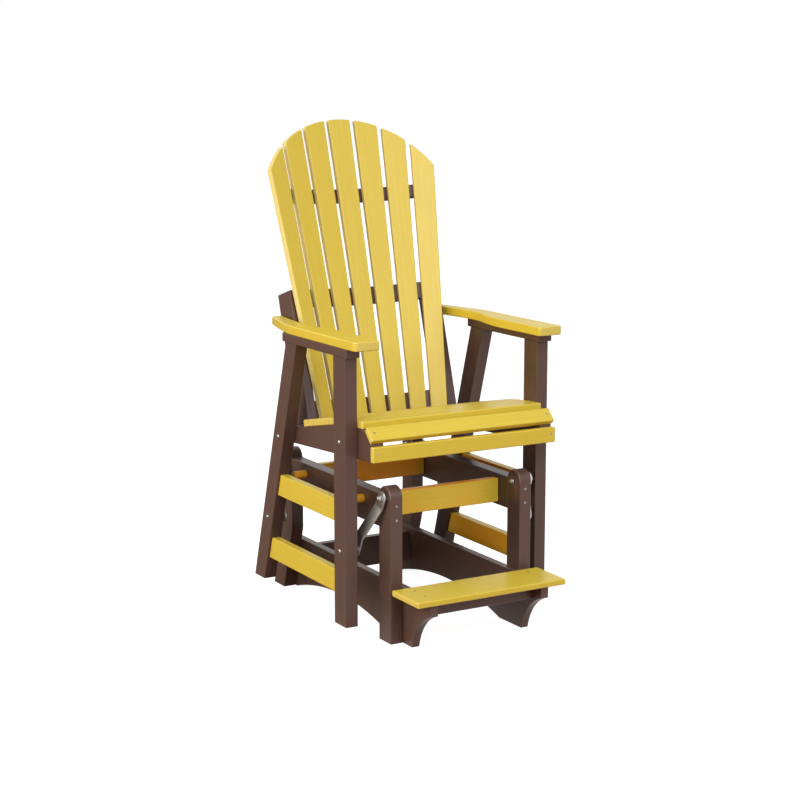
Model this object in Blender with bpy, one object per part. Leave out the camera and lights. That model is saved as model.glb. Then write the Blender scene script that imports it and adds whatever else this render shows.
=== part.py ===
"""Glider armchair in plastic lumber: a fixed base, four swing links and the chair they carry.

Metres, +Z up, the chair faces -Y and X = 0 is its plane of symmetry. Left is -X.
Run in Blender: every piece becomes one named object, and each moving body hangs from an
empty on its joint axis.
"""
import math

import bmesh
import bpy
from mathutils import Vector

# Fits and finish
FIT = 0.0003
BORE_FIT = 0.0003
CUTTER_OVERRUN = 0.02
EDGE_ROUND = 0.0030
FRAME_ROUND = 0.0018
MERGE = 0.00005
EDGE_CREASE = math.radians(35)
ROUND_CREASE = math.radians(40)
LUMBER_ROUGHNESS = 0.6
STEEL_ROUGHNESS = 0.35
BOARD = 0.0254
LUMBER = 0.0381

# Linkage
LINKAGE_Y = 0.0483
UPPER_SPAN = 0.5994
LOWER_SPAN = 0.4544
PIVOT_Z = 0.4082
LOWER_PIVOT_Z = 0.2548

# Base posts
POST_INNER_X = 0.1909
POST_DEPTH = 0.0651
KNEE_Z = 0.1956
KICK = 0.0615
FOOT_DEPTH = 0.0686

# Base rails
SIDE_RAIL_LOW = 0.3216
SIDE_RAIL_TOP = 0.4135
CROSS_LOW = 0.3315
CROSS_TOP = 0.4013
FRONT_CROSS_SET = 0.0442
REAR_CROSS_SET = 0.0456
GROUND_RAIL_THICK = 0.0243
GROUND_RAIL_TOP = 0.1565
TOE_LONG = 0.1486
HEEL_SHORT = 0.0114
TOE_REAR_SET = 0.0635
TOE_FRONT_SET = 0.0494
HEEL_LONG = 0.0661
ARCH_RISE = 0.0457
TOE_ARC_OUT = 0.1923
TOE_ARC_Z = -0.0272
GROUND_CROSS_SET = 0.0528
GROUND_CROSS_LOW = 0.0508
GROUND_CROSS_TOP = 0.1422

# Footrest
FOOTREST_SEAT_Z = 0.1453
FOOTREST_THICK = 0.0168
FOOTREST_DEEP = 0.1418
FOOTREST_SET = 0.0222
FOOTREST_HALF = 0.2381
FOOTREST_CROSS_SET = 0.0600
FOOTREST_CROSS_TALL = 0.0444

# Stop pegs
PEG_RADIUS = 0.0118
PEG_END_X = 0.2690
PEG_FRONT_SET = 0.0920
PEG_REAR_SET = 0.0914
PEG_Z = 0.3823

# Swing links
STRAP_WIDE = 0.0305
STRAP_THICK = 0.0048
SPACER_LONG = 0.0074
LEG_SPACER_LONG = 0.0107
BEND_START = 0.0292
BEND_END = 0.1257
BEND_RADIUS = 0.018

# Chair legs and side stretchers
LEG_INNER_X = 0.2915
LEG_DEPTH = 0.0668
LEG_TOP = 0.7943
FRONT_LEG_FOOT = 0.0432
REAR_LEG_FOOT = 0.0579
REAR_LEG_DEPTH = 0.0635
REAR_LEG_LEAN = math.radians(17.1)
HIGH_STRETCHER_LOW = 0.3302
LOW_STRETCHER_LOW = 0.1283
STRETCHER_TALL = 0.0648

# Seat frame, as (Y, Z) corners of the rail under each slat
RAIL_NOSE_Y = -0.2890
RAIL_NOSE_LOW = 0.5184
RAIL_NOSE_TOP = 0.5677
RAIL_BEVEL_Y = -0.2560
RAIL_TAIL_Y = 0.2317
RAIL_TAIL_TOP = 0.5372
RAIL_TAIL_LOW = 0.4877
RAIL_BELLY = (-0.0769, 0.5055)
SLAT_SEATS = (
    (-0.2407, 0.6010),
    (-0.1907, 0.5989),
    (-0.1406, 0.5954),
    (-0.0906, 0.5893),
    (-0.0403, 0.5799),
    (0.0100, 0.5695),
    (0.0603, 0.5593),
    (0.1106, 0.5486),
)
SLAT_THICK = 0.0203
SLAT_SPACE = 0.0018
SLAT_END_PLAY = 0.0006
NOSE_SLAT_WIDE = 0.0452
NOSE_SLAT_THICK = 0.0178
NOSE_HALF = 0.2946
APRON_THICK = 0.0168
APRON_LOW = 0.5194
APRON_TOP = 0.5626

# Arms
ARM_RAIL_THICK = 0.0246
ARM_RAIL_INNER = 0.2896
ARM_RAIL_OUTER = 0.3327
ARM_RAIL_FRONT_Y = -0.2255
ARM_RAIL_REAR_Y = 0.1581
ARMREST_THICK = 0.0254
ARMREST_OUTLINE = (
    (0.2654, -0.2788), (0.3213, -0.2788), (0.3297, -0.2753), (0.3340, -0.2661),
    (0.3340, 0.1174), (0.3277, 0.1606), (0.3099, 0.2317), (0.2908, 0.3079),
    (0.2832, 0.3181), (0.2565, 0.3181), (0.2596, 0.2901), (0.2649, 0.2520),
    (0.2728, 0.1987), (0.2794, 0.1428), (0.2802, 0.1073), (0.2789, 0.0755),
    (0.2634, 0.0069), (0.2560, -0.0350), (0.2540, -0.0858), (0.2540, -0.2661),
    (0.2578, -0.2753),
)

# Fan back: slats on a cone that leans back
BACK_Y = 0.2995
BACK_Z = 0.8890
BACK_LEAN = math.radians(16.13)
BACK_SLATS = 7
FAN_STEP = math.radians(6.81)
FAN_SHARE = 0.2185
FAN_APEX = 2.8981
BACK_SLAT_THICK = 0.0178
BACK_SLAT_SPACE = 0.0163
BACK_SLAT_LOW = -0.3708
CROWN_SHOULDER = 0.3765
CROWN_RISE = 0.1607
LOW_RAIL_HEIGHT = -0.3683
LOW_RAIL_TALL = 0.0648
MIDDLE_RAIL_DROP = 0.0104
MIDDLE_RAIL_TALL = 0.0495
TOP_RAIL_HEIGHT = 0.2903
TOP_RAIL_TALL = 0.0368
TOP_RAIL_REACH = 0.2388
BACK_RAIL_DEEP = 0.0381

# Back uprights
UPRIGHT_WIDE = 0.0813
UPRIGHT_THICK = 0.0305
UPRIGHT_TOP = 0.9246
UPRIGHT_LOW = 0.4978

# Bolts
BOLT_RADIUS = 0.0047
HEAD_RADIUS = 0.0062
HEAD_TALL = 0.0034
HEAD_SHARES = ((0.45, 0.90), (0.86, 0.55))
NUT_RADIUS = 0.0086
NUT_TALL = 0.0080
BOLT_TIP = 0.0045
COLLAR_RADIUS = 0.0100
SEAT_BOLT_FRONT_Z = 0.5601
SEAT_BOLT_REAR_Z = 0.5108
STUB = 0.0060

# Facet and step counts
ROUND_STEPS = 12
PEG_STEPS = 20
POST_STEPS = 12
ARCH_STEPS = 16
TOE_STEPS = 8
BEND_STEPS = 4
CROWN_STEPS = 8
RAIL_STEPS = 14
EDGE_STEPS = 2
SOLVE_STEPS = 12

# Colours of the materials
YELLOW = (0.730, 0.540, 0.060, 1.0)
BROWN = (0.125, 0.068, 0.047, 1.0)
STEEL = (0.62, 0.62, 0.64, 1.0)

SIDES = ((-1, "left"), (1, "right"))

# Places that follow from the sizes above
POST_OUTER_X = POST_INNER_X + LUMBER
FRONT_UPPER = Vector((0, LINKAGE_Y - UPPER_SPAN / 2, PIVOT_Z))
REAR_UPPER = Vector((0, LINKAGE_Y + UPPER_SPAN / 2, PIVOT_Z))
FRONT_LOWER = Vector((0, LINKAGE_Y - LOWER_SPAN / 2, LOWER_PIVOT_Z))
REAR_LOWER = Vector((0, LINKAGE_Y + LOWER_SPAN / 2, LOWER_PIVOT_Z))
LINK_LONG = (FRONT_LOWER - FRONT_UPPER).length
STRAP_UPPER_X = POST_OUTER_X + SPACER_LONG + FIT + FIT + STRAP_THICK / 2
STRAP_LOWER_X = LEG_INNER_X - FIT - LEG_SPACER_LONG - FIT - STRAP_THICK / 2
LEG_OUTER_X = LEG_INNER_X + LUMBER
LEG_MID_X = LEG_INNER_X + LUMBER / 2
SEAT_RAIL_OUTER_X = LEG_INNER_X - FIT
SEAT_RAIL_INNER_X = SEAT_RAIL_OUTER_X - LUMBER
UPRIGHT_OUTER_X = SEAT_RAIL_INNER_X - FIT
UPRIGHT_INNER_X = UPRIGHT_OUTER_X - UPRIGHT_THICK
GROUND_RAIL_OUTER_X = POST_INNER_X - FIT
GROUND_RAIL_INNER_X = GROUND_RAIL_OUTER_X - GROUND_RAIL_THICK
FRONT_POST_FACE_Y = FRONT_UPPER.y - POST_DEPTH / 2
FRONT_POST_BACK_Y = FRONT_UPPER.y + POST_DEPTH / 2
REAR_POST_FACE_Y = REAR_UPPER.y - POST_DEPTH / 2
REAR_FOOT_BACK_Y = REAR_UPPER.y + KICK + FOOT_DEPTH / 2
FRONT_CROSS_Y = FRONT_POST_BACK_Y + FRONT_CROSS_SET
REAR_CROSS_Y = REAR_POST_FACE_Y - REAR_CROSS_SET - BOARD
PEG_FRONT_Y = FRONT_POST_BACK_Y + PEG_FRONT_SET
PEG_REAR_Y = REAR_POST_FACE_Y - PEG_REAR_SET
GROUND_RAIL_FRONT_Y = FRONT_POST_FACE_Y - TOE_LONG
GROUND_RAIL_REAR_Y = REAR_FOOT_BACK_Y - HEEL_SHORT
TOE_FRONT_Y = FRONT_POST_FACE_Y - TOE_FRONT_SET
TOE_REAR_Y = FRONT_POST_FACE_Y + TOE_REAR_SET
HEEL_Y = GROUND_RAIL_REAR_Y - HEEL_LONG
TOE_ARC_Y = FRONT_POST_FACE_Y - TOE_ARC_OUT
GROUND_CROSS_Y = REAR_UPPER.y - GROUND_CROSS_SET
FOOTREST_REAR_Y = FRONT_POST_FACE_Y - FOOTREST_SET
FOOTREST_FRONT_Y = FOOTREST_REAR_Y - FOOTREST_DEEP
FOOTREST_CROSS_Y = FOOTREST_FRONT_Y + FOOTREST_CROSS_SET
FRONT_LEG_FACE_Y = FRONT_LOWER.y - LEG_DEPTH / 2
REAR_LEG_FLAT = REAR_LEG_DEPTH / math.cos(REAR_LEG_LEAN)
FRONT_SEAT_BOLT = Vector((0, FRONT_LOWER.y, SEAT_BOLT_FRONT_Z))
ARMREST_LOW = LEG_TOP + FIT + ARM_RAIL_THICK + FIT


def clear_scene():
    """Remove whatever the file opens with."""
    for item in list(bpy.data.objects):
        bpy.data.objects.remove(item, do_unlink=True)


def finish_material(name, colour, roughness, metallic):
    """Return a Principled material of one colour."""
    material = bpy.data.materials.new(name + "_finish")
    material.use_nodes = True
    shader = material.node_tree.nodes["Principled BSDF"]
    shader.inputs["Base Color"].default_value = colour
    shader.inputs["Roughness"].default_value = roughness
    shader.inputs["Metallic"].default_value = metallic
    material.diffuse_color = colour
    return material


def lumber(name, colour):
    """Return the matte finish of a lumber piece."""
    return finish_material(name, colour, LUMBER_ROUGHNESS, 0)


def metal(name):
    """Return the finish of a steel piece."""
    return finish_material(name, STEEL, STEEL_ROUGHNESS, 1)


def add_object(name, bm, material, parent=None):
    """Turn a bmesh in world coordinates into a named object, under its body's empty."""
    bmesh.ops.remove_doubles(bm, verts=bm.verts, dist=MERGE)
    bmesh.ops.recalc_face_normals(bm, faces=bm.faces)
    if parent is not None:
        bmesh.ops.translate(bm, verts=bm.verts, vec=-parent.location)
    mesh = bpy.data.meshes.new(name)
    bm.to_mesh(mesh)
    bm.free()
    mesh.materials.append(material)
    item = bpy.data.objects.new(name, mesh)
    bpy.context.collection.objects.link(item)
    item.parent = parent
    return item


def add_axis(name, place):
    """Add the empty that a moving body hangs from."""
    axis = bpy.data.objects.new(name, None)
    axis.location = place
    bpy.context.collection.objects.link(axis)
    return axis


def add_prism(bm, outline, low, high, place):
    """Add a prism: place(u, v, w) puts the outline's (u, v) at depth w in the world."""
    first = [bm.verts.new(place(u, v, low)) for u, v in outline]
    second = [bm.verts.new(place(u, v, high)) for u, v in outline]
    bm.faces.new(first)
    bm.faces.new(list(reversed(second)))
    count = len(outline)
    for i in range(count):
        j = (i + 1) % count
        bm.faces.new((first[i], second[i], second[j], first[j]))


def side_view(u, v, w):
    """Place a (Y, Z) outline with its depth along X."""
    return Vector((w, u, v))


def plan_view(u, v, w):
    """Place an (X, Y) outline with its depth along Z."""
    return Vector((u, v, w))


def rectangle(u0, v0, u1, v1):
    """Return the corners of a rectangle."""
    return [(u0, v0), (u1, v0), (u1, v1), (u0, v1)]


def round_edges(item, width):
    """Round the long edges of a sawn board."""
    bevel = item.modifiers.new("edge_round", "BEVEL")
    bevel.width = width
    bevel.segments = EDGE_STEPS
    bevel.limit_method = "ANGLE"
    bevel.angle_limit = EDGE_CREASE
    bevel.use_clamp_overlap = True


def side_board(name, outline, side, inner, outer, colour, width, parent=None):
    """Make a board seen from the side, between two distances from the middle plane."""
    bm = bmesh.new()
    add_prism(bm, outline, side * inner, side * outer, side_view)
    item = add_object(name, bm, lumber(name, colour), parent)
    round_edges(item, width)
    return item


def cross_board(name, outline, half, colour, width, parent=None):
    """Make a board that runs across the chair."""
    bm = bmesh.new()
    add_prism(bm, outline, -half, half, side_view)
    item = add_object(name, bm, lumber(name, colour), parent)
    round_edges(item, width)
    return item


def add_lathe(bm, profile, centre, side, steps):
    """Turn a closed (distance along X, radius) profile about an X axis."""
    rings = []
    for along, radius in profile:
        if radius == 0:
            rings.append([bm.verts.new(centre + Vector((side * along, 0, 0)))])
            continue
        ring = []
        for i in range(steps):
            turn = math.tau * (i + 0.5) / steps
            spoke = Vector((0, radius * math.cos(turn), radius * math.sin(turn)))
            ring.append(bm.verts.new(centre + Vector((side * along, 0, 0)) + spoke))
        rings.append(ring)
    for first, second in zip(rings, rings[1:]):
        join_rings(bm, first, second, steps)


def join_rings(bm, first, second, steps):
    """Join two neighbouring rings, either of which may be a single point."""
    for i in range(steps):
        j = (i + 1) % steps
        if len(first) == 1:
            bm.faces.new((first[0], second[i], second[j]))
        elif len(second) == 1:
            bm.faces.new((first[i], second[0], first[j]))
        else:
            bm.faces.new((first[i], second[i], second[j], first[j]))


def add_turned(bm, rows, centre, side):
    """Join rings along X; each row is (distance along X, radius, whether it is hexagonal)."""
    rings = []
    for along, radius, hexagonal in rows:
        axis = centre + Vector((side * along, 0, 0))
        if radius == 0:
            rings.append([bm.verts.new(axis)])
            continue
        ring = []
        for i in range(ROUND_STEPS):
            turn = math.tau * i / ROUND_STEPS
            reach = radius * math.cos(math.pi / 6) if hexagonal and i % 2 else radius
            ring.append(bm.verts.new(axis + Vector((0, reach * math.cos(turn), reach * math.sin(turn)))))
        rings.append(ring)
    for first, second in zip(rings, rings[1:]):
        join_rings(bm, first, second, ROUND_STEPS)


def shade_round(item):
    """Shade a turned piece smooth between its sharp creases."""
    for face in item.data.polygons:
        face.use_smooth = True
    item.data.set_sharp_from_angle(angle=ROUND_CREASE)


def from_face(face, direction, rows):
    """Place rows of (height over a face, radius, whether it is hexagonal) along X."""
    return [(face + direction * over, radius, hexagonal) for over, radius, hexagonal in rows]


def head_rows(face, direction):
    """Return the rings of a domed bolt head that seats on a face, from the shank to its crown."""
    return from_face(face, direction, [
        (0, BOLT_RADIUS, False),
        (0, HEAD_RADIUS, False),
        (HEAD_TALL * HEAD_SHARES[0][0], HEAD_RADIUS * HEAD_SHARES[0][1], False),
        (HEAD_TALL * HEAD_SHARES[1][0], HEAD_RADIUS * HEAD_SHARES[1][1], False),
        (HEAD_TALL, 0, False),
    ])


def nut_rows(face, direction):
    """Return the rings of a nut that seats on a face, with the bolt's end beyond it."""
    return from_face(face, direction, [
        (0, BOLT_RADIUS, False),
        (0, NUT_RADIUS, True),
        (NUT_TALL, NUT_RADIUS, True),
        (NUT_TALL, BOLT_RADIUS, False),
        (NUT_TALL + BOLT_TIP, BOLT_RADIUS, False),
        (NUT_TALL + BOLT_TIP, 0, False),
    ])


def collar_rows(start, long):
    """Return the rings of the spacer round a bolt, from its outer end to its inner end."""
    end = start + long
    return [
        (end, BOLT_RADIUS, False),
        (end, COLLAR_RADIUS, False),
        (start, COLLAR_RADIUS, False),
        (start, BOLT_RADIUS, False),
    ]


def build_bolt(name, rows, centre, side, parent=None):
    """Build one bolt from its rings."""
    bm = bmesh.new()
    add_turned(bm, rows, centre, side)
    item = add_object(name, bm, metal(name), parent)
    shade_round(item)
    return item


def hide_tool(item):
    """Mark an object as one that only shapes others."""
    item.hide_render = True
    item.display_type = "WIRE"
    return item


def weld(item, tool):
    """Join a hidden tool's shape to a piece."""
    join = item.modifiers.new("weld", "BOOLEAN")
    join.operation = "UNION"
    join.solver = "EXACT"
    join.object = tool


def add_cutter(name, centre):
    """Add the hidden cylinder that bores every piece on one bolt's axis."""
    reach = LEG_OUTER_X + CUTTER_OVERRUN
    radius = BOLT_RADIUS + BORE_FIT
    bm = bmesh.new()
    profile = [(-reach, 0), (-reach, radius), (reach, radius), (reach, 0)]
    add_lathe(bm, profile, centre, 1, ROUND_STEPS)
    return hide_tool(add_object(name, bm, metal(name)))


def bore(item, cutter):
    """Cut a bolt hole through a piece."""
    cut = item.modifiers.new("bore", "BOOLEAN")
    cut.operation = "DIFFERENCE"
    cut.solver = "EXACT"
    cut.object = cutter


def front_post_outline():
    """Return the front post from the side: straight, with a half-round head."""
    outline = post_head(FRONT_UPPER)
    outline.append((FRONT_UPPER.y - POST_DEPTH / 2, 0))
    outline.append((FRONT_UPPER.y + POST_DEPTH / 2, 0))
    return outline


def rear_post_outline():
    """Return the rear post from the side: its foot kicks back."""
    outline = post_head(REAR_UPPER)
    foot = REAR_UPPER.y + KICK
    outline.append((REAR_UPPER.y - POST_DEPTH / 2, KNEE_Z))
    outline.append((foot - FOOT_DEPTH / 2, 0))
    outline.append((foot + FOOT_DEPTH / 2, 0))
    outline.append((REAR_UPPER.y + POST_DEPTH / 2, KNEE_Z))
    return outline


def post_head(pivot):
    """Return the half circle about a post's pivot, from its rear side to its front."""
    points = []
    for i in range(POST_STEPS + 1):
        turn = math.pi * i / POST_STEPS
        along = POST_DEPTH / 2 * math.cos(turn)
        points.append((pivot.y + along, pivot.z + POST_DEPTH / 2 * math.sin(turn)))
    return points


def build_posts(cutters):
    """Build the four base posts, bored for their pivot bolts."""
    for side, word in SIDES:
        front = side_board(
            "front_post_" + word, front_post_outline(), side,
            POST_INNER_X, POST_OUTER_X, BROWN, FRAME_ROUND)
        bore(front, cutters["front_upper"])
        rear = side_board(
            "rear_post_" + word, rear_post_outline(), side,
            POST_INNER_X, POST_OUTER_X, BROWN, FRAME_ROUND)
        bore(rear, cutters["rear_upper"])


def arc_points(centre_y, centre_z, radius, first, last, steps):
    """Return points on an arc between two angles from +Y, both ends included."""
    points = []
    for i in range(steps + 1):
        turn = first + (last - first) * i / steps
        points.append((centre_y + radius * math.cos(turn), centre_z + radius * math.sin(turn)))
    return points


def ground_rail_outline():
    """Return a ground rail from the side: long arch, toe with a hollow front, footrest notch."""
    half = (HEEL_Y - TOE_REAR_Y) / 2
    radius = (half * half + ARCH_RISE * ARCH_RISE) / (2 * ARCH_RISE)
    centre_z = ARCH_RISE - radius
    swing = math.asin(half / radius)
    up = math.pi / 2
    arch = arc_points((HEEL_Y + TOE_REAR_Y) / 2, centre_z, radius, up - swing, up + swing, ARCH_STEPS)
    arch[0] = (HEEL_Y, 0)
    arch[-1] = (TOE_REAR_Y, 0)
    toe_radius = math.hypot(TOE_FRONT_Y - TOE_ARC_Y, TOE_ARC_Z)
    first = math.atan2(-TOE_ARC_Z, TOE_FRONT_Y - TOE_ARC_Y)
    last = math.acos((GROUND_RAIL_FRONT_Y - TOE_ARC_Y) / toe_radius)
    toe = arc_points(TOE_ARC_Y, TOE_ARC_Z, toe_radius, first, last, TOE_STEPS)
    outline = [(GROUND_RAIL_REAR_Y, 0)] + arch + toe
    outline.append((GROUND_RAIL_FRONT_Y, FOOTREST_SEAT_Z))
    outline.append((FOOTREST_REAR_Y + FIT, FOOTREST_SEAT_Z))
    outline.append((FOOTREST_REAR_Y + FIT, GROUND_RAIL_TOP))
    outline.append((GROUND_RAIL_REAR_Y, GROUND_RAIL_TOP))
    return outline


def build_base_rails():
    """Build the side rails between the posts and the arched rails on the floor."""
    front = FRONT_UPPER.y + POST_DEPTH / 2 + FIT
    rear = REAR_UPPER.y - POST_DEPTH / 2 - FIT
    for side, word in SIDES:
        rail = side_board(
            "top_side_rail_" + word, rectangle(front, SIDE_RAIL_LOW, rear, SIDE_RAIL_TOP),
            side, POST_INNER_X, POST_OUTER_X, BROWN, FRAME_ROUND)
        weld(rail, add_peg("front_peg_" + word, side, PEG_FRONT_Y))
        weld(rail, add_peg("rear_peg_" + word, side, PEG_REAR_Y))
        side_board(
            "ground_rail_" + word, ground_rail_outline(), side,
            GROUND_RAIL_INNER_X, GROUND_RAIL_OUTER_X, BROWN, FRAME_ROUND)


def build_base_crosses():
    """Build the boards that tie the two sides of the base together."""
    half = POST_INNER_X - FIT
    low_half = GROUND_RAIL_INNER_X - FIT
    outline = rectangle(FRONT_CROSS_Y, CROSS_LOW, FRONT_CROSS_Y + BOARD, CROSS_TOP)
    cross_board("front_stretcher", outline, half, YELLOW, EDGE_ROUND)
    outline = rectangle(REAR_CROSS_Y, CROSS_LOW, REAR_CROSS_Y + BOARD, CROSS_TOP)
    cross_board("rear_stretcher", outline, half, YELLOW, EDGE_ROUND)
    outline = rectangle(GROUND_CROSS_Y, GROUND_CROSS_LOW, GROUND_CROSS_Y + BOARD, GROUND_CROSS_TOP)
    cross_board("ground_cross_rail", outline, low_half, BROWN, FRAME_ROUND)
    top = FOOTREST_SEAT_Z - FIT
    low = top - FOOTREST_CROSS_TALL
    outline = rectangle(FOOTREST_CROSS_Y, low, FOOTREST_CROSS_Y + BOARD, top)
    cross_board("footrest_cross_rail", outline, low_half, BROWN, FRAME_ROUND)


def build_footrest():
    """Build the footrest board in the notches of the ground rails."""
    low = FOOTREST_SEAT_Z + FIT
    outline = rectangle(FOOTREST_FRONT_Y, low, FOOTREST_REAR_Y, low + FOOTREST_THICK)
    cross_board("footrest_board", outline, FOOTREST_HALF, YELLOW, EDGE_ROUND)


def add_peg(name, side, y):
    """Add the dowel that stands out of a top side rail."""
    bm = bmesh.new()
    start = POST_OUTER_X - LUMBER / 2
    profile = [(start, 0), (start, PEG_RADIUS), (PEG_END_X, PEG_RADIUS), (PEG_END_X, 0)]
    add_lathe(bm, profile, Vector((0, y, PEG_Z)), side, PEG_STEPS)
    return hide_tool(add_object(name, bm, lumber(name, YELLOW)))


def build_pivot_bolts():
    """Build the bolts in the posts' heads, each with a nut at both ends and its spacer."""
    rows = nut_rows(STRAP_UPPER_X + STRAP_THICK / 2 + FIT, 1)
    rows.reverse()
    rows += collar_rows(POST_OUTER_X + FIT, SPACER_LONG)
    rows += nut_rows(POST_INNER_X - FIT, -1)
    for side, word in SIDES:
        build_bolt("front_pivot_bolt_" + word, rows, FRONT_UPPER, side)
        build_bolt("rear_pivot_bolt_" + word, rows, REAR_UPPER, side)


def strap_path():
    """Return the link's centre line as (drop along the link, distance from the middle plane)."""
    lean = math.atan2(STRAP_LOWER_X - STRAP_UPPER_X, BEND_END - BEND_START)
    half = BEND_RADIUS * math.tan(lean / 2)
    points = [(-STRAP_WIDE / 2, STRAP_UPPER_X)]
    start = BEND_START - half
    for i in range(BEND_STEPS + 1):
        turn = lean * i / BEND_STEPS
        points.append((start + BEND_RADIUS * math.sin(turn),
                       STRAP_UPPER_X + BEND_RADIUS * (1 - math.cos(turn))))
    end = BEND_END + half
    for i in range(BEND_STEPS + 1):
        turn = lean * (BEND_STEPS - i) / BEND_STEPS
        points.append((end - BEND_RADIUS * math.sin(turn),
                       STRAP_LOWER_X - BEND_RADIUS * (1 - math.cos(turn))))
    points.append((LINK_LONG + STRAP_WIDE / 2, STRAP_LOWER_X))
    return points


def path_stations(points):
    """Return the length along the path, its point and its offset normal at every corner."""
    stations = []
    length = 0
    for i, point in enumerate(points):
        here = Vector(point)
        back = here - Vector(points[i - 1]) if i > 0 else None
        ahead = Vector(points[i + 1]) - here if i + 1 < len(points) else None
        if back is not None:
            length += back.length
        first = (back or ahead).normalized()
        last = (ahead or back).normalized()
        middle = (first + last).normalized()
        normal = Vector((-middle.y, middle.x)) / middle.dot(first)
        stations.append((length, here, normal))
    return stations


def on_path(stations, length, offset):
    """Return the (drop, distance) of a point at a length along the path and an offset."""
    index = 0
    while index + 2 < len(stations) and stations[index + 1][0] < length:
        index += 1
    start, here, normal = stations[index]
    end, there, other = stations[index + 1]
    share = min(max((length - start) / (end - start), 0), 1)
    return here.lerp(there, share) + normal.lerp(other, share) * offset


def stadium(long, wide):
    """Return the flat outline of a strap with round ends, from end to end."""
    radius = wide / 2
    points = arc_points(radius, 0, radius, math.pi / 2, math.pi * 3 / 2, POST_STEPS)
    return points + arc_points(long - radius, 0, radius, -math.pi / 2, math.pi / 2, POST_STEPS)


def build_link(name, upper, lower, side, cutters, parent):
    """Form one swing link: a flat strap, bent outwards between its two eyes."""
    stations = path_stations(strap_path())
    bm = bmesh.new()
    outline = stadium(stations[-1][0], STRAP_WIDE)
    add_prism(bm, outline, -STRAP_THICK / 2, STRAP_THICK / 2, plan_view)
    for station in stations[1:-1]:
        everything = bm.verts[:] + bm.edges[:] + bm.faces[:]
        bmesh.ops.bisect_plane(
            bm, geom=everything, plane_co=(station[0], 0, 0), plane_no=(1, 0, 0), dist=MERGE)
    down = (lower - upper).normalized()
    across = Vector((1, 0, 0)).cross(down)
    for vert in bm.verts:
        drop, reach = on_path(stations, vert.co.x, vert.co.z)
        vert.co = upper + down * drop + across * vert.co.y + Vector((side * reach, 0, 0))
    item = add_object(name, bm, metal(name), parent)
    for cutter in cutters:
        bore(item, cutter)
    shade_round(item)
    return item


def build_links(cutters):
    """Build the four links; the nut of the rear lower pivot rides on its link."""
    for side, word in SIDES:
        axis = add_axis("front_link_axis_" + word, FRONT_UPPER)
        build_link(
            "front_link_" + word, FRONT_UPPER, FRONT_LOWER, side,
            (cutters["front_upper"], cutters["front_lower"]), axis)
        axis = add_axis("rear_link_axis_" + word, REAR_UPPER)
        link = build_link(
            "rear_link_" + word, REAR_UPPER, REAR_LOWER, side, (cutters["rear_upper"],), axis)
        weld(link, add_link_nut("rear_nut_" + word, side))


def add_link_nut(name, side):
    """Add the spacer, nut and bolt end that ride on a rear link's lower eye."""
    bm = bmesh.new()
    end = LEG_INNER_X - FIT
    rows = [(end, 0, False), (end, COLLAR_RADIUS, False), (STRAP_LOWER_X, COLLAR_RADIUS, False)]
    rows += [(STRAP_LOWER_X, NUT_RADIUS, True)]
    rows += nut_rows(STRAP_LOWER_X - STRAP_THICK / 2, -1)[2:]
    add_turned(bm, rows, REAR_LOWER, side)
    return hide_tool(add_object(name, bm, metal(name)))


def rear_leg_y(z, share):
    """Return Y on the rear leg at a height; share 0 is its front edge and 1 its rear edge."""
    middle = REAR_LOWER.y - (z - LOWER_PIVOT_Z) * math.tan(REAR_LEG_LEAN)
    return middle + (share - 0.5) * REAR_LEG_FLAT


def build_legs(cutters, body):
    """Build the four legs that carry the seat and the arms."""
    front = rectangle(
        FRONT_LEG_FACE_Y, FRONT_LEG_FOOT, FRONT_LEG_FACE_Y + LEG_DEPTH, LEG_TOP)
    rear = [
        (rear_leg_y(REAR_LEG_FOOT, 0), REAR_LEG_FOOT), (rear_leg_y(REAR_LEG_FOOT, 1), REAR_LEG_FOOT),
        (rear_leg_y(LEG_TOP, 1), LEG_TOP), (rear_leg_y(LEG_TOP, 0), LEG_TOP)]
    for side, word in SIDES:
        leg = side_board(
            "front_leg_" + word, front, side, LEG_INNER_X, LEG_OUTER_X, BROWN, FRAME_ROUND, body)
        bore(leg, cutters["front_lower"])
        weld(leg, add_seat_head("front_seat_bolt_" + word, FRONT_SEAT_BOLT, side))
        leg = side_board(
            "rear_leg_" + word, rear, side, LEG_INNER_X, LEG_OUTER_X, BROWN, FRAME_ROUND, body)
        bore(leg, cutters["rear_lower"])
        weld(leg, add_seat_head("rear_seat_bolt_" + word, rear_seat_bolt(), side))


def add_seat_head(name, centre, side):
    """Add the head of the bolt that holds the seat rail to a leg."""
    bm = bmesh.new()
    rows = [(LEG_OUTER_X - STUB, 0, False), (LEG_OUTER_X - STUB, HEAD_RADIUS, False)]
    rows += head_rows(LEG_OUTER_X, 1)[2:]
    add_turned(bm, rows, centre, side)
    return hide_tool(add_object(name, bm, metal(name)))


def build_side_stretchers(body):
    """Build the two boards between the legs on each side."""
    front = FRONT_LEG_FACE_Y + LEG_DEPTH + FIT
    inner = LEG_MID_X - BOARD / 2
    outer = LEG_MID_X + BOARD / 2
    levels = (("upper_stretcher_", HIGH_STRETCHER_LOW), ("lower_stretcher_", LOW_STRETCHER_LOW))
    for side, word in SIDES:
        for label, low in levels:
            top = low + STRETCHER_TALL
            outline = [
                (front, low), (rear_leg_y(low, 0) - FIT, low),
                (rear_leg_y(top, 0) - FIT, top), (front, top)]
            side_board(label + word, outline, side, inner, outer, YELLOW, EDGE_ROUND, body)


def seat_rail_outline():
    """Return a seat rail from the side, with one flat for every slat."""
    outline = [RAIL_BELLY, (RAIL_TAIL_Y, RAIL_TAIL_LOW), (RAIL_TAIL_Y, RAIL_TAIL_TOP)]
    outline += list(reversed(SLAT_SEATS))
    outline.append((RAIL_BEVEL_Y, SLAT_SEATS[0][1]))
    outline.append((RAIL_NOSE_Y, RAIL_NOSE_TOP))
    outline.append((RAIL_NOSE_Y, RAIL_NOSE_LOW))
    return outline


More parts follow.
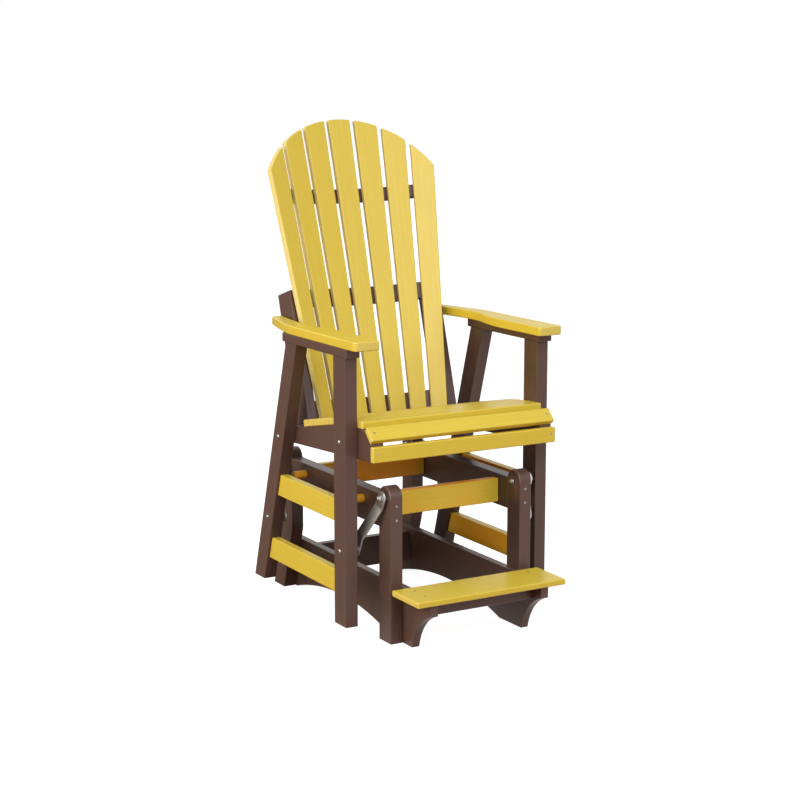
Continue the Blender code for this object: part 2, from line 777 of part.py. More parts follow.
def build_seat_rails(body):
    """Build the two contoured rails under the seat."""
    for side, word in SIDES:
        side_board(
            "seat_rail_" + word, seat_rail_outline(), side,
            SEAT_RAIL_INNER_X, SEAT_RAIL_OUTER_X, BROWN, FRAME_ROUND, body)


def slat_on(start, end, thick, space):
    """Return the section of a slat that lies on the flat from start to end."""
    first = Vector(start)
    along = (Vector(end) - first).normalized()
    up = Vector((-along.y, along.x))
    last = Vector(end) - along * space / 2 + up * FIT
    first = first + along * space / 2 + up * FIT
    return [first[:], last[:], (last + up * thick)[:], (first + up * thick)[:]]


def seat_slat_name(index):
    """Return the name of a seat slat, counted from the front."""
    return "seat_slat_" + str(index + 1)


def build_seat_slats(body):
    """Build the seat slats from the front edge to the back."""
    half = LEG_INNER_X - SLAT_END_PLAY
    for i in range(len(SLAT_SEATS) - 1):
        section = slat_on(SLAT_SEATS[i], SLAT_SEATS[i + 1], SLAT_THICK, SLAT_SPACE)
        cross_board(seat_slat_name(i), section, half, YELLOW, EDGE_ROUND, body)
    section = nose_section()
    cross_board("seat_nose_slat", section, NOSE_HALF, YELLOW, EDGE_ROUND, body)
    rear = RAIL_NOSE_Y - FIT
    section = rectangle(rear - APRON_THICK, APRON_LOW, rear, APRON_TOP)
    cross_board("seat_apron", section, NOSE_HALF, YELLOW, EDGE_ROUND, body)


def nose_section():
    """Return the section of the slat on the bevelled nose of the seat rails."""
    low = Vector((RAIL_NOSE_Y, RAIL_NOSE_TOP))
    high = Vector((RAIL_BEVEL_Y, SLAT_SEATS[0][1]))
    middle = (low + high) / 2
    along = (high - low).normalized()
    start = middle - along * NOSE_SLAT_WIDE / 2
    end = middle + along * NOSE_SLAT_WIDE / 2
    return slat_on(start, end, NOSE_SLAT_THICK, 0)


def build_arms(body):
    """Build the arm rails on the legs and the shaped armrests on top of them."""
    rail_low = LEG_TOP + FIT
    for side, word in SIDES:
        bm = bmesh.new()
        outline = rectangle(
            side * ARM_RAIL_INNER, ARM_RAIL_FRONT_Y, side * ARM_RAIL_OUTER, ARM_RAIL_REAR_Y)
        add_prism(bm, outline, rail_low, rail_low + ARM_RAIL_THICK, plan_view)
        name = "arm_rail_" + word
        round_edges(add_object(name, bm, lumber(name, BROWN), body), FRAME_ROUND)
        bm = bmesh.new()
        outline = [(side * x, y) for x, y in ARMREST_OUTLINE]
        add_prism(bm, outline, ARMREST_LOW, ARMREST_LOW + ARMREST_THICK, plan_view)
        name = "armrest_" + word
        round_edges(add_object(name, bm, lumber(name, YELLOW), body), EDGE_ROUND)


def back_point(x, inward, height):
    """Place a point of the leaning back: across, towards the sitter, up along the lean."""
    lean_sin = math.sin(BACK_LEAN)
    lean_cos = math.cos(BACK_LEAN)
    y = BACK_Y + height * lean_sin - inward * lean_cos
    return Vector((x, y, BACK_Z + height * lean_cos + inward * lean_sin))


def fan_radius(height):
    """Return the radius of the fan's cone at a height along the lean."""
    return FAN_SHARE * (FAN_APEX + height)


def slat_point(turn, across, height, thick):
    """Place a point of a back slat; thick is 0 on its rear face."""
    radius = fan_radius(height)
    x = (radius - thick) * math.sin(turn) + across * math.cos(turn)
    inward = radius - (radius - thick) * math.cos(turn) + across * math.sin(turn)
    return back_point(x, inward, height)


def slat_view(turn):
    """Return the function that places the outline of the slat at one angle of the fan."""
    def place(u, v, w):
        return slat_point(turn, u, v, w)
    return place


def outer_turn():
    """Return the angle between the middle slat and the outer ones."""
    return FAN_STEP * (BACK_SLATS - 1) / 2


def back_slat_half(height):
    """Return half the width of a back slat at a height."""
    return (fan_radius(height) * FAN_STEP - BACK_SLAT_SPACE) / 2


def crown_circle():
    """Return the centre's height and the radius of the arc over the outer slats' shoulders."""
    turn = outer_turn()
    reach = fan_radius(CROWN_SHOULDER) * math.sin(turn)
    reach += back_slat_half(CROWN_SHOULDER) * math.cos(turn)
    radius = (reach * reach + CROWN_RISE * CROWN_RISE) / (2 * CROWN_RISE)
    return CROWN_SHOULDER + CROWN_RISE - radius, radius


def crown_height(turn, share):
    """Return where a slat's line at a share of its half width meets the round crown."""
    centre, radius = crown_circle()
    height = CROWN_SHOULDER
    for _ in range(SOLVE_STEPS):
        across = share * back_slat_half(height)
        x = fan_radius(height) * math.sin(turn) + across * math.cos(turn)
        height = centre + math.sqrt(radius * radius - x * x)
    return height


def back_slat_outline(turn):
    """Return a back slat's face as (across, height) corners."""
    low = back_slat_half(BACK_SLAT_LOW)
    outline = [(-low, BACK_SLAT_LOW), (low, BACK_SLAT_LOW)]
    for i in range(CROWN_STEPS + 1):
        share = 1 - 2 * i / CROWN_STEPS
        height = crown_height(turn, share)
        outline.append((share * back_slat_half(height), height))
    return outline


def build_back_slats(body):
    """Build the tapered slats of the fan back."""
    for i in range(BACK_SLATS):
        turn = i * FAN_STEP - outer_turn()
        bm = bmesh.new()
        add_prism(bm, back_slat_outline(turn), 0, BACK_SLAT_THICK, slat_view(turn))
        name = "back_slat_" + str(i + 1)
        round_edges(add_object(name, bm, lumber(name, YELLOW), body), EDGE_ROUND)


def rail_point(turn, depth, height):
    """Place a point of a back rail; depth is measured back from its bearing face."""
    half = back_slat_half(height)
    radius = math.hypot(fan_radius(height), half) + FIT
    x = (radius + depth) * math.sin(turn)
    inward = fan_radius(height) - (radius + depth) * math.cos(turn)
    return back_point(x, inward, height)


def rail_turn(reach, height, depth):
    """Return the angle at which a back rail ends at a distance from the middle plane."""
    half = back_slat_half(height)
    return math.asin(reach / (math.hypot(fan_radius(height), half) + FIT + depth))


def back_rails():
    """Return each back rail's name, lowest height, tallness and reach from the middle plane."""
    between = UPRIGHT_INNER_X - FIT
    upright_top = (UPRIGHT_TOP - BACK_Z) / math.cos(BACK_LEAN)
    middle = upright_top - MIDDLE_RAIL_DROP - MIDDLE_RAIL_TALL
    return (
        ("back_rail_low", LOW_RAIL_HEIGHT, LOW_RAIL_TALL, between),
        ("back_rail_middle", middle, MIDDLE_RAIL_TALL, between),
        ("back_rail_top", TOP_RAIL_HEIGHT, TOP_RAIL_TALL, TOP_RAIL_REACH),
    )


def build_back_rails(body):
    """Build the three curved rails behind the back slats."""
    for name, low, tall, reach in back_rails():
        bm = bmesh.new()
        corners = ((0, low), (BACK_RAIL_DEEP, low), (BACK_RAIL_DEEP, low + tall), (0, low + tall))
        rings = []
        for i in range(RAIL_STEPS + 1):
            share = 2 * i / RAIL_STEPS - 1
            ring = []
            for depth, height in corners:
                turn = share * rail_turn(reach, height, depth)
                ring.append(bm.verts.new(rail_point(turn, depth, height)))
            rings.append(ring)
        for first, second in zip(rings, rings[1:]):
            join_rings(bm, first, second, len(corners))
        bm.faces.new(rings[0])
        bm.faces.new(rings[-1])
        round_edges(add_object(name, bm, lumber(name, BROWN), body), FRAME_ROUND)


def bearing_point(z):
    """Return Y of the outer slats' rear face above the uprights' inner edges, at a height Z."""
    turn = outer_turn()
    height = (z - BACK_Z) / math.cos(BACK_LEAN)
    for _ in range(SOLVE_STEPS):
        across = (UPRIGHT_INNER_X - fan_radius(height) * math.sin(turn)) / math.cos(turn)
        place = slat_point(turn, across, height, 0)
        height += (z - place.z) / math.cos(BACK_LEAN)
    return place.y


def upright_lean():
    """Return the slope of the uprights, the same as the slats that rest on them."""
    rise = UPRIGHT_TOP - UPRIGHT_LOW
    return math.atan2(bearing_point(UPRIGHT_TOP) - bearing_point(UPRIGHT_LOW), rise)


def upright_outline():
    """Return an upright from the side: its head square to its length, its foot level."""
    lean = upright_lean()
    along = Vector((math.sin(lean), math.cos(lean)))
    square = Vector((along.y, -along.x))
    top = Vector((bearing_point(UPRIGHT_TOP) + FIT, UPRIGHT_TOP))
    rear = top + square * UPRIGHT_WIDE
    front_low = top - along * (top.y - UPRIGHT_LOW) / along.y
    rear_low = rear - along * (rear.y - UPRIGHT_LOW) / along.y
    return [front_low[:], rear_low[:], rear[:], top[:]]


def build_uprights(body):
    """Build the two leaning uprights inside the seat rails."""
    for side, word in SIDES:
        side_board(
            "back_upright_" + word, upright_outline(), side,
            UPRIGHT_INNER_X, UPRIGHT_OUTER_X, BROWN, FRAME_ROUND, body)


def build_lower_bolts(body):
    """Build the bolts in the legs: the front pair pass through the links, the rear pair stop."""
    head = head_rows(LEG_OUTER_X + FIT, 1)
    head.reverse()
    through = head + collar_rows(LEG_INNER_X - FIT - LEG_SPACER_LONG, LEG_SPACER_LONG)
    through += nut_rows(STRAP_LOWER_X - STRAP_THICK / 2 - FIT, -1)
    end = LEG_INNER_X + FIT
    short = head + [(end, BOLT_RADIUS, False), (end, 0, False)]
    for side, word in SIDES:
        build_bolt("front_leg_bolt_" + word, through, FRONT_LOWER, side, body)
        build_bolt("rear_leg_bolt_" + word, short, REAR_LOWER, side, body)


def rear_seat_bolt():
    """Return the point where the rear seat bolts cross the rear legs' centre lines."""
    return Vector((0, rear_leg_y(SEAT_BOLT_REAR_Z, 0.5), SEAT_BOLT_REAR_Z))


def build_cutters():
    """Add one long cutter for every bolt axis."""
    return {
        "front_upper": add_cutter("bore_front_upper", FRONT_UPPER),
        "rear_upper": add_cutter("bore_rear_upper", REAR_UPPER),
        "front_lower": add_cutter("bore_front_lower", FRONT_LOWER),
        "rear_lower": add_cutter("bore_rear_lower", REAR_LOWER),
    }


def main():
    """Build the whole chair."""
    clear_scene()
    cutters = build_cutters()
    build_posts(cutters)
    build_base_rails()
    build_base_crosses()
    build_footrest()
    build_pivot_bolts()
    build_links(cutters)
    body = add_axis("chair_axis", FRONT_LOWER)
    build_legs(cutters, body)
    build_side_stretchers(body)
    build_seat_rails(body)
    build_seat_slats(body)
    build_arms(body)
    build_back_slats(body)
    build_back_rails(body)
    build_uprights(body)
    build_lower_bolts(body)


main()
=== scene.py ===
"""Look of the glider armchair: poly lumber boards, steel links and bolts, studio and camera.

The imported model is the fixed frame. Every board is dressed from its own solid, with soft
edges and grain along its length, and the steel pieces are built here in full detail.
"""
import logging
import math
from dataclasses import dataclass, field
from enum import Enum
from typing import Any, Callable, Iterable, Sequence

import bmesh
import bpy
import numpy as np
from bmesh.types import BMesh
from bpy.types import Material, Mesh, Modifier, Node, NodeSocket, NodeTree, Object
from mathutils import Matrix, Vector
from mathutils.bvhtree import BVHTree


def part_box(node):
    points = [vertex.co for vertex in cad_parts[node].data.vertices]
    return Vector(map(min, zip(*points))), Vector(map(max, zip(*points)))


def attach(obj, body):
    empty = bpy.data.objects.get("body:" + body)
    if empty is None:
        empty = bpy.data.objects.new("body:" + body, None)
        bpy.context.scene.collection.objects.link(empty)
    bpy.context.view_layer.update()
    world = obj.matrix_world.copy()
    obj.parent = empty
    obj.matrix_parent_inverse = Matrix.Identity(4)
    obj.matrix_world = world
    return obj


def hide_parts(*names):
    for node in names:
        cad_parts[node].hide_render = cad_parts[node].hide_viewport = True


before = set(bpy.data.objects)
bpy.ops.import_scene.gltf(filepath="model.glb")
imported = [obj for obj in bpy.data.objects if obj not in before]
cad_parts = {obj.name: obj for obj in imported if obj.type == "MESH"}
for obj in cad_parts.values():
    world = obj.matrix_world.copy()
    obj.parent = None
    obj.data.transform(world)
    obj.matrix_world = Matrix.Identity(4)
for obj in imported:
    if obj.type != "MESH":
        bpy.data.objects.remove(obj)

LOG = logging.getLogger("glider")
MM = 0.001
WELD = 0.01 * MM  # corners closer than this are one
FLAT_TURN = math.radians(0.4)  # faces that turn less than this are one flat face
GOLDEN_TURN = 2.399963  # the angle that spreads rays evenly over a disc

Row = tuple[float, float | Callable[[float], float]]
Place = tuple[float, float, float]
Colour = tuple[float, float, float, float]


class Side(Enum):
    """The two sides of the chair; the value is the sign of X."""

    LEFT = -1
    RIGHT = 1

    @property
    def word(self) -> str:
        """Return the side's word in a node's name."""
        return self.name.lower()

    @property
    def out(self) -> Vector:
        """Return the direction away from the middle plane."""
        return self.at(1, 0, 0)

    def at(self, reach: float, y: float, z: float) -> Vector:
        """Return a point on this side at a distance from the middle plane."""
        return Vector((self.value * reach, y, z))


def hex_linear(code: str) -> Colour:
    """Turn an sRGB hex colour to linear values.

    Args:
        code: The colour as "#RRGGBB".

    Returns:
        Linear red, green, blue and an alpha of one.
    """
    values = []
    for start in (1, 3, 5):
        part = int(code[start:start + 2], 16) / 255
        values.append(part / 12.92 if part <= 0.04045 else ((part + 0.055) / 1.055) ** 2.4)
    return values[0], values[1], values[2], 1.0


def add_node(
    tree: NodeTree,
    kind: str,
    settings: dict[str, Any] | None = None,
    inputs: dict[str | int, Any] | None = None,
    stops: Iterable[tuple[float, str]] = (),
) -> Node:
    """Add a shader node with its settings, values and links.

    Args:
        tree: The node tree that gets the node.
        kind: The node's type name after "ShaderNode".
        settings: Attributes of the node itself.
        inputs: For each input socket a value, a hex colour, an output socket, or a node
            that stands for its first output.
        stops: Two places and hex colours, low and high, of a node that has a colour ramp.

    Returns:
        The new node.
    """
    node = tree.nodes.new("ShaderNode" + kind)
    for name, value in (settings or {}).items():
        setattr(node, name, value)
    for i, (place, code) in enumerate(stops):
        node.color_ramp.elements[i].position = place
        node.color_ramp.elements[i].color = hex_linear(code)
    for name, value in (inputs or {}).items():
        if isinstance(value, Node):
            value = value.outputs[0]
        if isinstance(value, NodeSocket):
            tree.links.new(value, node.inputs[name])
        else:
            node.inputs[name].default_value = hex_linear(value) if isinstance(value, str) else value
    return node


def new_material(name: str) -> tuple[Material, NodeTree, Node]:
    """Make a material with nothing but its shader.

    Args:
        name: The finish's name.

    Returns:
        The material, its tree and its Principled shader.
    """
    material = bpy.data.materials.new(name)
    material.use_nodes = True
    return material, material.node_tree, material.node_tree.nodes["Principled BSDF"]


def drawn_out(
    tree: NodeTree, along: NodeSocket, wide_mm: float, long_mm: float,
    detail: float, rough: float = 0.6,
) -> Node:
    """Add noise that is drawn out along a piece.

    Args:
        tree: The material's tree.
        along: The piece's grain coordinates.
        wide_mm: Width of one streak.
        long_mm: Length of one streak.
        detail: Octaves of the noise.
        rough: How much each finer octave still counts.

    Returns:
        The noise node.
    """
    scale = (1 / (long_mm * MM), 1 / (wide_mm * MM), 1 / (wide_mm * MM))
    stretch = add_node(tree, "Mapping", {}, {"Vector": along, "Scale": scale})
    return add_node(
        tree, "TexNoise", {}, {"Vector": stretch, "Scale": 1.0, "Detail": detail, "Roughness": rough})


@dataclass(frozen=True)
class PolyLumberFinish:
    """Extruded HDPE lumber: coloured all through, with a wood grain rolled into its skin.

    The roller leaves shallow streaks along the board, so the eye sees fine lines of gloss
    and shade on one colour. That colour is painted deeper where a place sees little of the
    open: painted shade in recesses and under the seat. Eased edges are painted paler, a
    painted highlight, and rubbed smoother. Sawn faces show the dull, finely pitted core,
    whose pale colour also paints a highlight on the back slats' sides.
    """

    name: str
    skin_hex: str
    streak_hex: str
    core_and_highlight_hex: str
    edge_highlight_hex: str
    painted_shade_hex: str
    specular: float
    roughness: float
    streak_depth_mm: float
    deep_shade_at: float
    no_shade_at: float
    streak_mm: float = 3.2  # real streaks are about 1 mm; drawn as coarse as the render shows
    fine_mm: float = 0.9
    streak_long_mm: float = 260.0
    fine_long_mm: float = 55.0
    mottle_mm: float = 90.0
    pore_mm: float = 1.6
    fine_share: float = 0.35
    mottle_share: float = 0.2
    tone_stops: tuple[float, float] = (0.45, 0.85)
    pore_stops: tuple[float, float] = (0.15, 0.45)
    trough_rough: float = 0.10
    crest_rough: float = -0.04
    core_rough: float = 0.2
    rubbed_rough: float = -0.08
    relief: float = 0.55

    def material(self) -> Material:
        """Build the material from what each board carries about itself.

        Returns:
            The finished material.
        """
        material, tree, shader = new_material(self.name)
        along = add_node(tree, "Attribute", {"attribute_name": "grain"}).outputs["Vector"]
        openness_attr = add_node(tree, "Attribute", {"attribute_name": "openness"}).outputs["Fac"]
        eased = add_node(tree, "Attribute", {"attribute_name": "eased_edge"}).outputs["Fac"]
        core_faces = add_node(tree, "Attribute", {"attribute_name": "core_face"}).outputs["Fac"]
        streak = drawn_out(tree, along, self.streak_mm, self.streak_long_mm, 3.0)
        fine = drawn_out(tree, along, self.fine_mm, self.fine_long_mm, 2.0)
        mottle = add_node(
            tree, "TexNoise", {}, {"Vector": along, "Scale": 1 / (self.mottle_mm * MM), "Detail": 2.0})
        both = add_node(
            tree, "Math", {"operation": "MULTIPLY_ADD"}, {0: fine, 1: self.fine_share, 2: streak})
        tone = add_node(
            tree, "Math", {"operation": "MULTIPLY_ADD"}, {0: mottle, 1: self.mottle_share, 2: both})
        grain_colour = add_node(
            tree, "ValToRGB", {}, {"Fac": tone}, zip(self.tone_stops, (self.streak_hex, self.skin_hex)))
        # Painted shade: where a place sees little of the open, its colour goes to the deep shade
        # colour.
        shade_share = add_node(
            tree, "MapRange", {},
            {"Value": openness_attr, "From Min": self.deep_shade_at, "From Max": self.no_shade_at,
             "To Min": 1.0, "To Max": 0.0})
        shaded_skin = add_node(tree, "Mix", {"data_type": "RGBA"}, {0: shade_share, 6: grain_colour, 7: self.painted_shade_hex})
        # Painted highlight: eased edges are painted paler; their lower roughness is real rubbing.
        edge_highlight_share = add_node(tree, "Math", {"operation": "MULTIPLY"}, {0: eased, 1: tone})
        highlit_skin = add_node(
            tree, "Mix", {"data_type": "RGBA"}, {0: edge_highlight_share, 6: shaded_skin.outputs[2], 7: self.edge_highlight_hex})
        pores = add_node(
            tree, "TexVoronoi", {},
            {"Vector": along, "Scale": 1 / (self.pore_mm * MM), "Randomness": 1.0})
        # Core colour: real on sawn ends, a painted highlight on the back slats' sides.
        core_and_highlight = add_node(
            tree, "ValToRGB", {}, {"Fac": pores},
            zip(self.pore_stops, (self.streak_hex, self.core_and_highlight_hex)))
        colour = add_node(
            tree, "Mix", {"data_type": "RGBA"}, {0: core_faces, 6: highlit_skin.outputs[2], 7: core_and_highlight})
        rough = add_node(
            tree, "MapRange", {},
            {"Value": both, "From Min": 0.3, "From Max": 1.0,
             "To Min": self.roughness + self.trough_rough,
             "To Max": self.roughness + self.crest_rough})
        dull = add_node(
            tree, "Math", {"operation": "MULTIPLY_ADD"}, {0: core_faces, 1: self.core_rough, 2: rough})
        gloss = add_node(
            tree, "Math", {"operation": "MULTIPLY_ADD"}, {0: eased, 1: self.rubbed_rough, 2: dull})
        relief = add_node(
            tree, "Bump", {},
            {"Height": both, "Strength": self.relief, "Distance": self.streak_depth_mm * MM})
        tree.links.new(colour.outputs[2], shader.inputs["Base Color"])
        tree.links.new(gloss.outputs[0], shader.inputs["Roughness"])
        tree.links.new(relief.outputs[0], shader.inputs["Normal"])
        shader.inputs["IOR"].default_value = 1.5
        shader.inputs["Specular IOR Level"].default_value = self.specular
        return material


@dataclass(frozen=True)
class SteelStrapFinish:
    """Stainless steel flat bar, belt brushed along its length: soft streaked reflections."""

    name: str = "stainless_strap_brushed"
    colour_hex: str = "#CBCAC6"
    stain_hex: str = "#A8A6A0"
    brush_mm: float = 0.7
    brush_long_mm: float = 40.0
    brush_deep_mm: float = 0.05
    roughness: float = 0.40

    def material(self) -> Material:
        """Build the brushed metal from the strap's own coordinates.

        Returns:
            The finished material.
        """
        material, tree, shader = new_material(self.name)
        along = add_node(tree, "Attribute", {"attribute_name": "grain"}).outputs["Vector"]
        brush = drawn_out(tree, along, self.brush_mm, self.brush_long_mm, 3.0, 0.65)
        colour = add_node(
            tree, "ValToRGB", {}, {"Fac": brush}, ((0.3, self.stain_hex), (0.6, self.colour_hex)))
        rough = add_node(
            tree, "MapRange", {},
            {"Value": brush, "From Min": 0.3, "From Max": 0.7,
             "To Min": self.roughness + 0.08, "To Max": self.roughness - 0.05})
        relief = add_node(
            tree, "Bump", {}, {"Height": brush, "Strength": 0.25, "Distance": self.brush_deep_mm * MM})
        tree.links.new(colour.outputs[0], shader.inputs["Base Color"])
        tree.links.new(rough.outputs[0], shader.inputs["Roughness"])
        tree.links.new(relief.outputs[0], shader.inputs["Normal"])
        shader.inputs["Metallic"].default_value = 1.0
        return material


@dataclass(frozen=True)
class BoltFinish:
    """Stainless steel fasteners, cold headed: smooth and bright with a faint turned haze."""

    name: str
    colour_hex: str
    shade_hex: str
    haze_mm: float = 2.5
    roughness: float = 0.22

    def material(self) -> Material:
        """Build the bright metal with a slow haze over it.

        Returns:
            The finished material.
        """
        material, tree, shader = new_material(self.name)
        place = add_node(tree, "TexCoord").outputs["Object"]
        haze = add_node(
            tree, "TexNoise", {}, {"Vector": place, "Scale": 1 / (self.haze_mm * MM), "Detail": 2.0})
        colour = add_node(
            tree, "ValToRGB", {}, {"Fac": haze}, ((0.35, self.shade_hex), (0.6, self.colour_hex)))
        rough = add_node(
            tree, "MapRange", {},
            {"Value": haze, "From Min": 0.3, "From Max": 0.7,
             "To Min": self.roughness - 0.04, "To Max": self.roughness + 0.10})
        tree.links.new(colour.outputs[0], shader.inputs["Base Color"])
        tree.links.new(rough.outputs[0], shader.inputs["Roughness"])
        shader.inputs["Metallic"].default_value = 1.0
        return material


@dataclass(frozen=True)
class NylonFinish:
    """Moulded nylon ring of a lock nut: milky, slightly waxy white with a faint mottle."""

    name: str = "nylon_moulded"
    colour_hex: str = "#D9D8D0"
    shade_hex: str = "#C2C1B8"
    mottle_mm: float = 1.5

    def material(self) -> Material:
        """Build the milky plastic.

        Returns:
            The finished material.
        """
        material, tree, shader = new_material(self.name)
        place = add_node(tree, "TexCoord").outputs["Object"]
        mottle = add_node(
            tree, "TexNoise", {}, {"Vector": place, "Scale": 1 / (self.mottle_mm * MM), "Detail": 1.0})
        colour = add_node(
            tree, "ValToRGB", {}, {"Fac": mottle}, ((0.3, self.shade_hex), (0.6, self.colour_hex)))
        tree.links.new(colour.outputs[0], shader.inputs["Base Color"])
        shader.inputs["Roughness"].default_value = 0.42
        shader.inputs["IOR"].default_value = 1.53
        return material


@dataclass
class Finishes:
    """All finishes of the chair, each built once."""

    # Colours: skin, streak, core (also a painted highlight on back slat sides), painted edge highlight,
    # painted shade.
    yellow: Material = field(default_factory=PolyLumberFinish(
        "hdpe_lumber_yellow", "#E2C43C", "#D9B935", "#E3CE83", "#F2E6AE", "#F5AA20",
        0.5, 0.34, 0.16, 0.28, 0.48).material)
    brown: Material = field(default_factory=PolyLumberFinish(
        "hdpe_lumber_brown", "#5E443A", "#553D33", "#685247", "#866E60", "#3C2B23",
        0.36, 0.32, 0.08, 0.15, 0.60).material)
    strap: Material = field(default_factory=SteelStrapFinish().material)
    bolt: Material = field(default_factory=BoltFinish(
        "stainless_bolt_headed", "#B9B9B6", "#999996").material)
    screw: Material = field(default_factory=BoltFinish(
        "stainless_screw_headed", "#A5A5A3", "#858583").material)
    nylon: Material = field(default_factory=NylonFinish().material)


def hexagon(radius: float, limit: float) -> Callable[[float], float]:
    """Return the radius of a hexagon whose corners are turned off.

    Args:
        radius: Distance from the axis to a corner.
        limit: Radius that the corners are turned down to.

    Returns:
        A function from angle to radius.
    """
    half = math.pi / 6  # half the turn from one corner to the next
    flat = radius * math.cos(half)

    def reach(turn: float) -> float:
        """Return the hexagon's radius at an angle."""
        step = (turn + half) % (2 * half) - half
        return min(flat / math.cos(half - abs(step)), limit)

    return reach


def lobes(radius: float, depth: float, count: int) -> Callable[[float], float]:
    """Return the radius of a lobed drive recess.

    Args:
        radius: Mean radius.
        depth: How far the lobes run in and out.
        count: Number of lobes.

    Returns:
        A function from angle to radius.
    """
    return lambda turn: radius + depth * math.cos(count * turn)


@dataclass
class Turned:
    """A turned piece: rings about an axis, from its first row to its last.

    A row holds a distance along the axis and the ring's radius there: a number where the
    ring is round, or a function from angle to radius.
    """

    name: str
    rows: Sequence[Row]
    centre: Vector
    axis: Vector
    steps: int = 36
    crease: float = 32.0

    def build(self, material: Material) -> Object:
        """Build the closed mesh.

        Args:
            material: Its finish.

        Returns:
            The new object, smooth between its creases.
        """
        along = self.axis.normalized()
        across = along.orthogonal().normalized()
        other = along.cross(across)
        bm = bmesh.new()
        rings = []
        for distance, reach in self.rows:
            ring = []
            for i in range(self.steps):
                turn = math.tau * i / self.steps
                wide = reach(turn) if callable(reach) else reach
                spoke = (across * math.cos(turn) + other * math.sin(turn)) * wide
                ring.append(bm.verts.new(self.centre + along * distance + spoke))
            rings.append(ring)
        for first, second in zip(rings, rings[1:]):
            for i in range(self.steps):
                j = (i + 1) % self.steps
                bm.faces.new((first[i], first[j], second[j], second[i]))
        bm.faces.new(list(reversed(rings[0])))
        bm.faces.new(rings[-1])
        bmesh.ops.recalc_face_normals(bm, faces=bm.faces)
        return finish_mesh(bm, self.name, material, self.crease)


def finish_mesh(bm: BMesh, name: str, material: Material, crease: float) -> Object:
    """Turn a bmesh into an object that is smooth between its creases.

    Args:
        bm: The mesh, which is freed.
        name: The object's name.
        material: Its finish.
        crease: Angle in degrees above which an edge stays sharp.

    Returns:
        The new object in the scene.
    """
    mesh = bpy.data.meshes.new(name)
    bm.to_mesh(mesh)
    bm.free()
    mesh.materials.append(material)
    mesh.shade_smooth()
    mesh.set_sharp_from_angle(angle=math.radians(crease))
    item = bpy.data.objects.new(name, mesh)
    bpy.context.collection.objects.link(item)
    return item


def clean_mesh(node: str) -> BMesh:
    """Copy a node's mesh, with its flat faces joined again.

    Args:
        node: The node's name.

    Returns:
        The copy.
    """
    bm = bmesh.new()
    bm.from_mesh(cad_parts[node].data)
    bmesh.ops.remove_doubles(bm, verts=bm.verts, dist=WELD)
    bmesh.ops.dissolve_limit(bm, angle_limit=FLAT_TURN, verts=bm.verts, edges=bm.edges)
    return bm


def write_grain(
    item: Object, rows: np.ndarray = np.eye(3), start: np.ndarray = np.zeros(3),
) -> None:
    """Store the coordinates that a finish draws its grain from.

    Args:
        item: The piece.
        rows: Its length direction and two directions across it.
        start: The coordinates of the frame's origin.
    """
    points = np.array([vert.co[:] for vert in item.data.vertices])
    layer = item.data.attributes.new("grain", "FLOAT_VECTOR", "POINT")
    layer.data.foreach_set("vector", (points @ rows.T + start).astype(np.float32).ravel())


def ease_edges(item: Object, width_mm: float, turn: float) -> Modifier:
    """Round a piece's edges.

    Args:
        item: The piece.
        width_mm: Width of the rounding.
        turn: Angle in degrees above which an edge is rounded.

    Returns:
        The modifier that rounds them.
    """
    ease = item.modifiers.new("eased_edges", "BEVEL")
    ease.width = width_mm * MM
    ease.segments = 2
    ease.limit_method = "ANGLE"
    ease.angle_limit = math.radians(turn)
    return ease


def settle(item: Object, body: str, nodes: Iterable[str] = ()) -> None:
    """Tie a piece to its body and the nodes that it stands for.

    Args:
        item: The piece.
        body: Name of the body that it rides on.
        nodes: Nodes that it replaces.
    """
    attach(item, body)
    if nodes:
        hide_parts(*nodes)
    LOG.info("%s rides on %s", item.name, body)


def board_axes(points: np.ndarray, snap_deg: float = 8.0) -> np.ndarray:
    """Find a board's length, width and thickness directions.

    Args:
        points: Its corners.
        snap_deg: A length this close to a world axis takes that axis.

    Returns:
        Three unit rows, longest first.
    """
    spread = points - points.mean(axis=0)
    _, _, rows = np.linalg.svd(spread, full_matrices=False)
    lead = rows[0]
    nearest = np.zeros(3)
    nearest[int(np.argmax(np.abs(lead)))] = 1.0
    if abs(float(lead @ nearest)) > math.cos(math.radians(snap_deg)):
        lead = nearest
    wide = rows[1] - lead * float(rows[1] @ lead)
    wide /= np.linalg.norm(wide)
    return np.array([lead, wide, np.cross(lead, wide)])


@dataclass
class Shelter:
    """How much of the open each place sees, which sets how deep its painted shade is."""

    reach: float = 1.5
    near: float = 60.0 * MM  # closer hits, across a gap or a joint, don't deepen the painted shade
    rays: int = 32
    floor_share: float = 0.5
    stand_off: float = 1.0 * MM
    grid: float = 6.0 * MM
    turn_share: float = 0.05  # how finely faces that meet at one place are told apart
    tree: BVHTree = field(init=False)
    known: dict[tuple[int, ...], float] = field(default_factory=dict)

    def __post_init__(self) -> None:
        """Gather every solid at rest into one search tree."""
        bm = bmesh.new()
        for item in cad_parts.values():
            bm.from_mesh(item.data)
        self.tree = BVHTree.FromBMesh(bm)
        bm.free()

    def at(self, place: Vector, normal: Vector) -> float:
        """Measure how much of the open a place sees.

        Args:
            place: A point on a face.
            normal: The face's direction.

        Returns:
            One where nothing stands before the face, zero where it is hidden.
        """
        key = tuple(round(value / self.grid) for value in (*place, *(normal * self.turn_share)))
        if key not in self.known:
            across = normal.orthogonal().normalized()
            other = normal.cross(across)
            start = place + normal * self.stand_off
            seen = 0.0
            for i in range(self.rays):
                wide = math.sqrt((i + 0.5) / self.rays)
                turn = GOLDEN_TURN * i
                way = (across * math.cos(turn) + other * math.sin(turn)) * wide
                way += normal * math.sqrt(1 - wide * wide)
                spot, _, _, far = self.tree.ray_cast(start, way, self.reach)
                if spot is None or far < self.near:
                    seen += 1.0 if way.z > 0 else self.floor_share
            self.known[key] = seen / self.rays
        return self.known[key]


